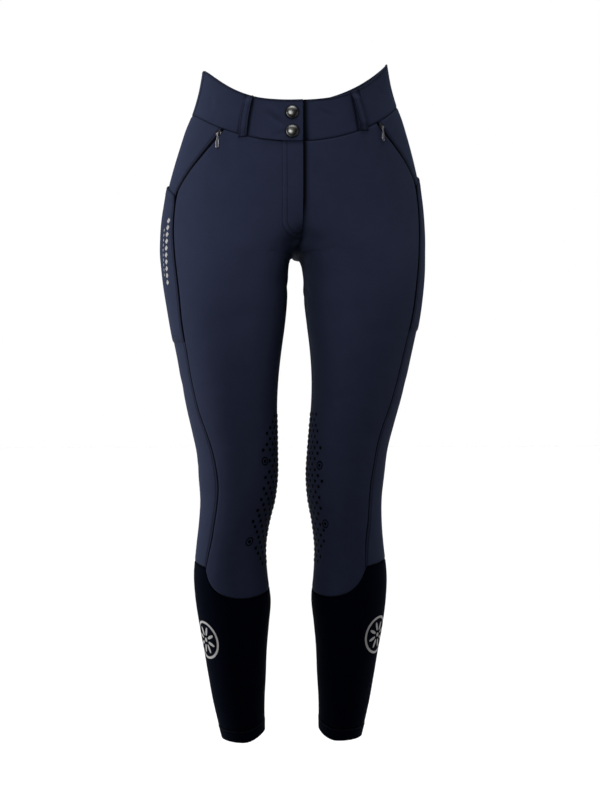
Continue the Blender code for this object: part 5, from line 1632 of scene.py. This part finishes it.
def zip_tape():
    """Woven polyester tape, matt and nearly black."""
    base = bpy.context.scene.breeches_trims.coil
    return grained("polyester_zip_tape", base, 0.5556, (0.75, 1.25), (0.7, 0.85), IOR=1.5, Specular_IOR_Level=0.03)


def coil_nylon():
    """Drawn nylon monofilament: nearly black and smoother than the tape, with hardly any shine on each turn."""
    base = bpy.context.scene.breeches_trims.coil
    return grained("nylon_coil", base, 0.4167, (0.8, 1.4), (0.40, 0.55), IOR=1.53, Specular_IOR_Level=0.05)


def gunmetal():
    """Brass plated in gunmetal grey and lacquered: a soft metallic shine, its tone uneven by a few per cent."""
    base = bpy.context.scene.breeches_trims.gunmetal
    return grained("gunmetal_plate", base, 2.381, (0.94, 1.06), (0.30, 0.36), Metallic=1.0)


def bright_nickel():
    """Zinc alloy cast and plated in bright nickel, tumbled to a soft shine."""
    base = bpy.context.scene.breeches_trims.nickel
    return grained("nickel_plated_zinc", base, 1.667, (0.95, 1.05), (0.34, 0.38), Metallic=1.0)


def painted_floor(base):
    """A matt painted floor: pale, with broad patches that differ by one per cent, and next to no reflection."""
    return grained("painted_floor", base, 111.1, (0.99, 1.01), (0.85, 0.95), Specular_IOR_Level=0.1)


# ================================================================ stage

# The power of the height that the room's light climbs with.
ROOM_CLIMB = 10.0
# The floor's edges: to both sides, just in front of the garment, and behind it.
FLOOR_SIDE, FLOOR_FRONT, FLOOR_BACK = 16, -0.25, 30
LAMP_COLUMNS = ("name", "place", "aim", "wide", "tall", "spread")
LAMPS = (
    ("key", (-1.9, 0.6, -0.35), (0.0, 0.0, -0.45), 0.9, 1.7, 180),
    ("fill", (1.9, 0.0, -0.40), (0.0, 0.0, -0.45), 0.9, 1.7, 180),
    ("front", (-0.42, -1.05, 0.12), (0.0, 0.0, -0.25), 0.5, 0.4, 66),
)


def room(settings):
    """White to look at; as light it is dim at the level of the eye and climbs steeply to a bright ceiling."""
    world = bpy.data.worlds.new("white_room")
    world.use_nodes = True
    tree = world.node_tree
    place = node(tree, "ShaderNodeTexCoord").outputs["Generated"]
    height = node(tree, "ShaderNodeSeparateXYZ", links={"Vector": place}).outputs["Z"]
    above = node(tree, "ShaderNodeMath", {1: 0.0}, {0: height}, operation="MAXIMUM").outputs["Value"]
    climb = node(tree, "ShaderNodeMath", {1: ROOM_CLIMB}, {0: above}, operation="POWER").outputs["Value"]
    span = {"To Min": settings.room, "To Max": settings.ceiling}
    strength = node(tree, "ShaderNodeMapRange", span, {"Value": climb}).outputs["Result"]
    light = node(tree, "ShaderNodeBackground", {"Color": (1, 1, 1, 1)}, {"Strength": strength}).outputs["Background"]
    white = tree.nodes["Background"]
    white.inputs["Color"].default_value = (1, 1, 1, 1)
    seen = node(tree, "ShaderNodeLightPath").outputs["Is Camera Ray"]
    mix = node(tree, "ShaderNodeMixShader", links={"Fac": seen, 1: light, 2: white.outputs["Background"]})
    tree.links.new(mix.outputs["Shader"], tree.nodes["World Output"].inputs["Surface"])
    return world


def stage(settings):
    """A pale floor, a white room with a bright ceiling, a soft light on each side, one in front, and the camera.

    The floor starts just in front of the garment, so that it doesn't light the legs from below.
    """
    scene = bpy.context.scene
    low = CAD_BOX[0][2] - settings.floor_drop
    mesh = bpy.data.meshes.new("floor")
    corners = [(x, y, low) for y in (FLOOR_FRONT, FLOOR_BACK) for x in (-FLOOR_SIDE, FLOOR_SIDE)]
    mesh.from_pydata(corners, [], [(0, 1, 3, 2)])
    floor = bpy.data.objects.new("floor", mesh)
    mesh.materials.append(painted_floor(settings.floor))
    scene.collection.objects.link(floor)
    scene.world = room(settings)
    scene.view_settings.view_transform = "Standard"
    scene.view_settings.look = "None"

    for row in LAMPS:
        softbox = dict(zip(LAMP_COLUMNS, row))
        lamp = bpy.data.lights.new(softbox["name"], "AREA")
        lamp.energy, lamp.shape = getattr(settings, softbox["name"]), "RECTANGLE"
        lamp.size, lamp.size_y, lamp.spread = softbox["wide"], softbox["tall"], math.radians(softbox["spread"])
        holder = bpy.data.objects.new(softbox["name"], lamp)
        holder.location = softbox["place"]
        holder.visible_camera = False
        aim = np.array(softbox["aim"]) - np.array(softbox["place"])
        turn = math.atan2(aim[1], aim[0]) - math.pi / 2
        holder.rotation_euler = (math.pi / 2 + math.atan2(aim[2], math.hypot(aim[0], aim[1])), 0, turn)
        scene.collection.objects.link(holder)

    right = np.array([math.cos(settings.azimuth), math.sin(settings.azimuth), 0.0])
    back = np.array([math.sin(settings.azimuth), -math.cos(settings.azimuth), 0.0])
    view = bpy.data.cameras.new("camera")
    view.sensor_fit, view.sensor_height, view.lens = "VERTICAL", 36.0, settings.lens
    view.clip_end = 60.0
    camera = bpy.data.objects.new("camera", view)
    camera.location = right * settings.aim_across + [0, 0, -settings.aim_drop] + back * settings.distance
    camera.rotation_euler = (math.pi / 2, 0, settings.azimuth)
    scene.collection.objects.link(camera)
    scene.camera = camera


# ================================================================ operators, panel and run


class BREECHES_OT_leg_panels(bpy.types.Operator):
    """Front, side and back panels of both legs, drawn in at their seams and creased"""

    bl_idname = "breeches.leg_panels"
    bl_label = "Leg Panels"

    def execute(self, context):
        for side in SIDES:
            leg_panels(side, context.scene.breeches_cloth)
        return {"FINISHED"}


class BREECHES_OT_socks(bpy.types.Operator):
    """Elastic socks with their hems"""

    bl_idname = "breeches.socks"
    bl_label = "Socks"

    def execute(self, context):
        for side in SIDES:
            sock(side, context.scene.breeches_cloth)
        return {"FINISHED"}


class BREECHES_OT_waistband(bpy.types.Operator):
    """Waistband in three parts, the right front lapped over the left"""

    bl_idname = "breeches.waistband"
    bl_label = "Waistband"

    def execute(self, context):
        waistband(context.scene.breeches_cloth)
        return {"FINISHED"}


class BREECHES_OT_fly(bpy.types.Operator):
    """Fly strip with its round corner"""

    bl_idname = "breeches.fly"
    bl_label = "Fly"

    def execute(self, context):
        fly()
        return {"FINISHED"}


class BREECHES_OT_phone_pockets(bpy.types.Operator):
    """Phone pocket on each side panel"""

    bl_idname = "breeches.phone_pockets"
    bl_label = "Phone Pockets"

    def execute(self, context):
        for side in SIDES:
            phone_pocket(side, context.scene.breeches_cloth)
        return {"FINISHED"}


class BREECHES_OT_belt_loops(bpy.types.Operator):
    """Belt loops, two at the front and three at the back"""

    bl_idname = "breeches.belt_loops"
    bl_label = "Belt Loops"

    def execute(self, context):
        for loop in LOOPS:
            belt_loop(*loop)
        return {"FINISHED"}


class BREECHES_OT_sewing(bpy.types.Operator):
    """Every line of topstitching and every bar tack"""

    bl_idname = "breeches.sewing"
    bl_label = "Sewing"

    def execute(self, context):
        all_sewing(context.scene.breeches_sewing)
        return {"FINISHED"}


class BREECHES_OT_grip(bpy.types.Operator):
    """Silicone grip dots on both inner knees"""

    bl_idname = "breeches.grip"
    bl_label = "Silicone Grip"

    def execute(self, context):
        for side in SIDES:
            grip(side, context.scene.breeches_trims)
        return {"FINISHED"}


class BREECHES_OT_ornaments(bpy.types.Operator):
    """Silver print on the right pocket, and a rosette on each sock"""

    bl_idname = "breeches.ornaments"
    bl_label = "Ornaments"

    def execute(self, context):
        pocket_print()
        for side in SIDES:
            rosette(side)
        return {"FINISHED"}


class BREECHES_OT_zips(bpy.types.Operator):
    """Tape, coil, slider and pull of both slash pocket zips"""

    bl_idname = "breeches.zips"
    bl_label = "Pocket Zips"

    def execute(self, context):
        for side in SIDES:
            pocket_zip(side)
            zip_slider(side)
            zip_pull(side)
        return {"FINISHED"}


class BREECHES_OT_snaps(bpy.types.Operator):
    """Two domed snap caps on the waistband's tab"""

    bl_idname = "breeches.snaps"
    bl_label = "Snaps"

    def execute(self, context):
        for name, z in SNAP_HEIGHTS.items():
            snap(name, z)
        return {"FINISHED"}


class BREECHES_OT_stage(bpy.types.Operator):
    """Floor, surroundings, lights and camera"""

    bl_idname = "breeches.stage"
    bl_label = "Stage"

    def execute(self, context):
        stage(context.scene.breeches_stage)
        return {"FINISHED"}


SETTINGS = {
    "breeches_cloth": BreechesCloth,
    "breeches_sewing": BreechesSewing,
    "breeches_trims": BreechesTrims,
    "breeches_stage": BreechesStage,
}
OPERATORS = (
    BREECHES_OT_leg_panels,
    BREECHES_OT_socks,
    BREECHES_OT_waistband,
    BREECHES_OT_fly,
    BREECHES_OT_phone_pockets,
    BREECHES_OT_belt_loops,
    BREECHES_OT_sewing,
    BREECHES_OT_grip,
    BREECHES_OT_ornaments,
    BREECHES_OT_zips,
    BREECHES_OT_snaps,
    BREECHES_OT_stage,
)


class BREECHES_PT_sidebar(bpy.types.Panel):
    """Lists the settings and the pieces"""

    bl_idname = "BREECHES_PT_sidebar"
    bl_label = "Riding Breeches"
    bl_space_type = "VIEW_3D"
    bl_region_type = "UI"
    bl_category = "Breeches"

    def draw(self, context):
        for name, group in SETTINGS.items():
            box = self.layout.box()
            for field in group.__annotations__:
                box.prop(getattr(context.scene, name), field)
        for operator in OPERATORS:
            self.layout.operator(operator.bl_idname)


CLASSES = (*SETTINGS.values(), *OPERATORS, BREECHES_PT_sidebar)


def register():
    for item in CLASSES:
        bpy.utils.register_class(item)
    for name, group in SETTINGS.items():
        setattr(bpy.types.Scene, name, PointerProperty(type=group))


def unregister():
    for name in SETTINGS:
        delattr(bpy.types.Scene, name)
    for item in reversed(CLASSES):
        bpy.utils.unregister_class(item)


def main():
    register()
    for operator in OPERATORS:
        group, _, call = operator.bl_idname.partition(".")
        getattr(getattr(bpy.ops, group), call)()


if __name__ == "__main__":
    main()
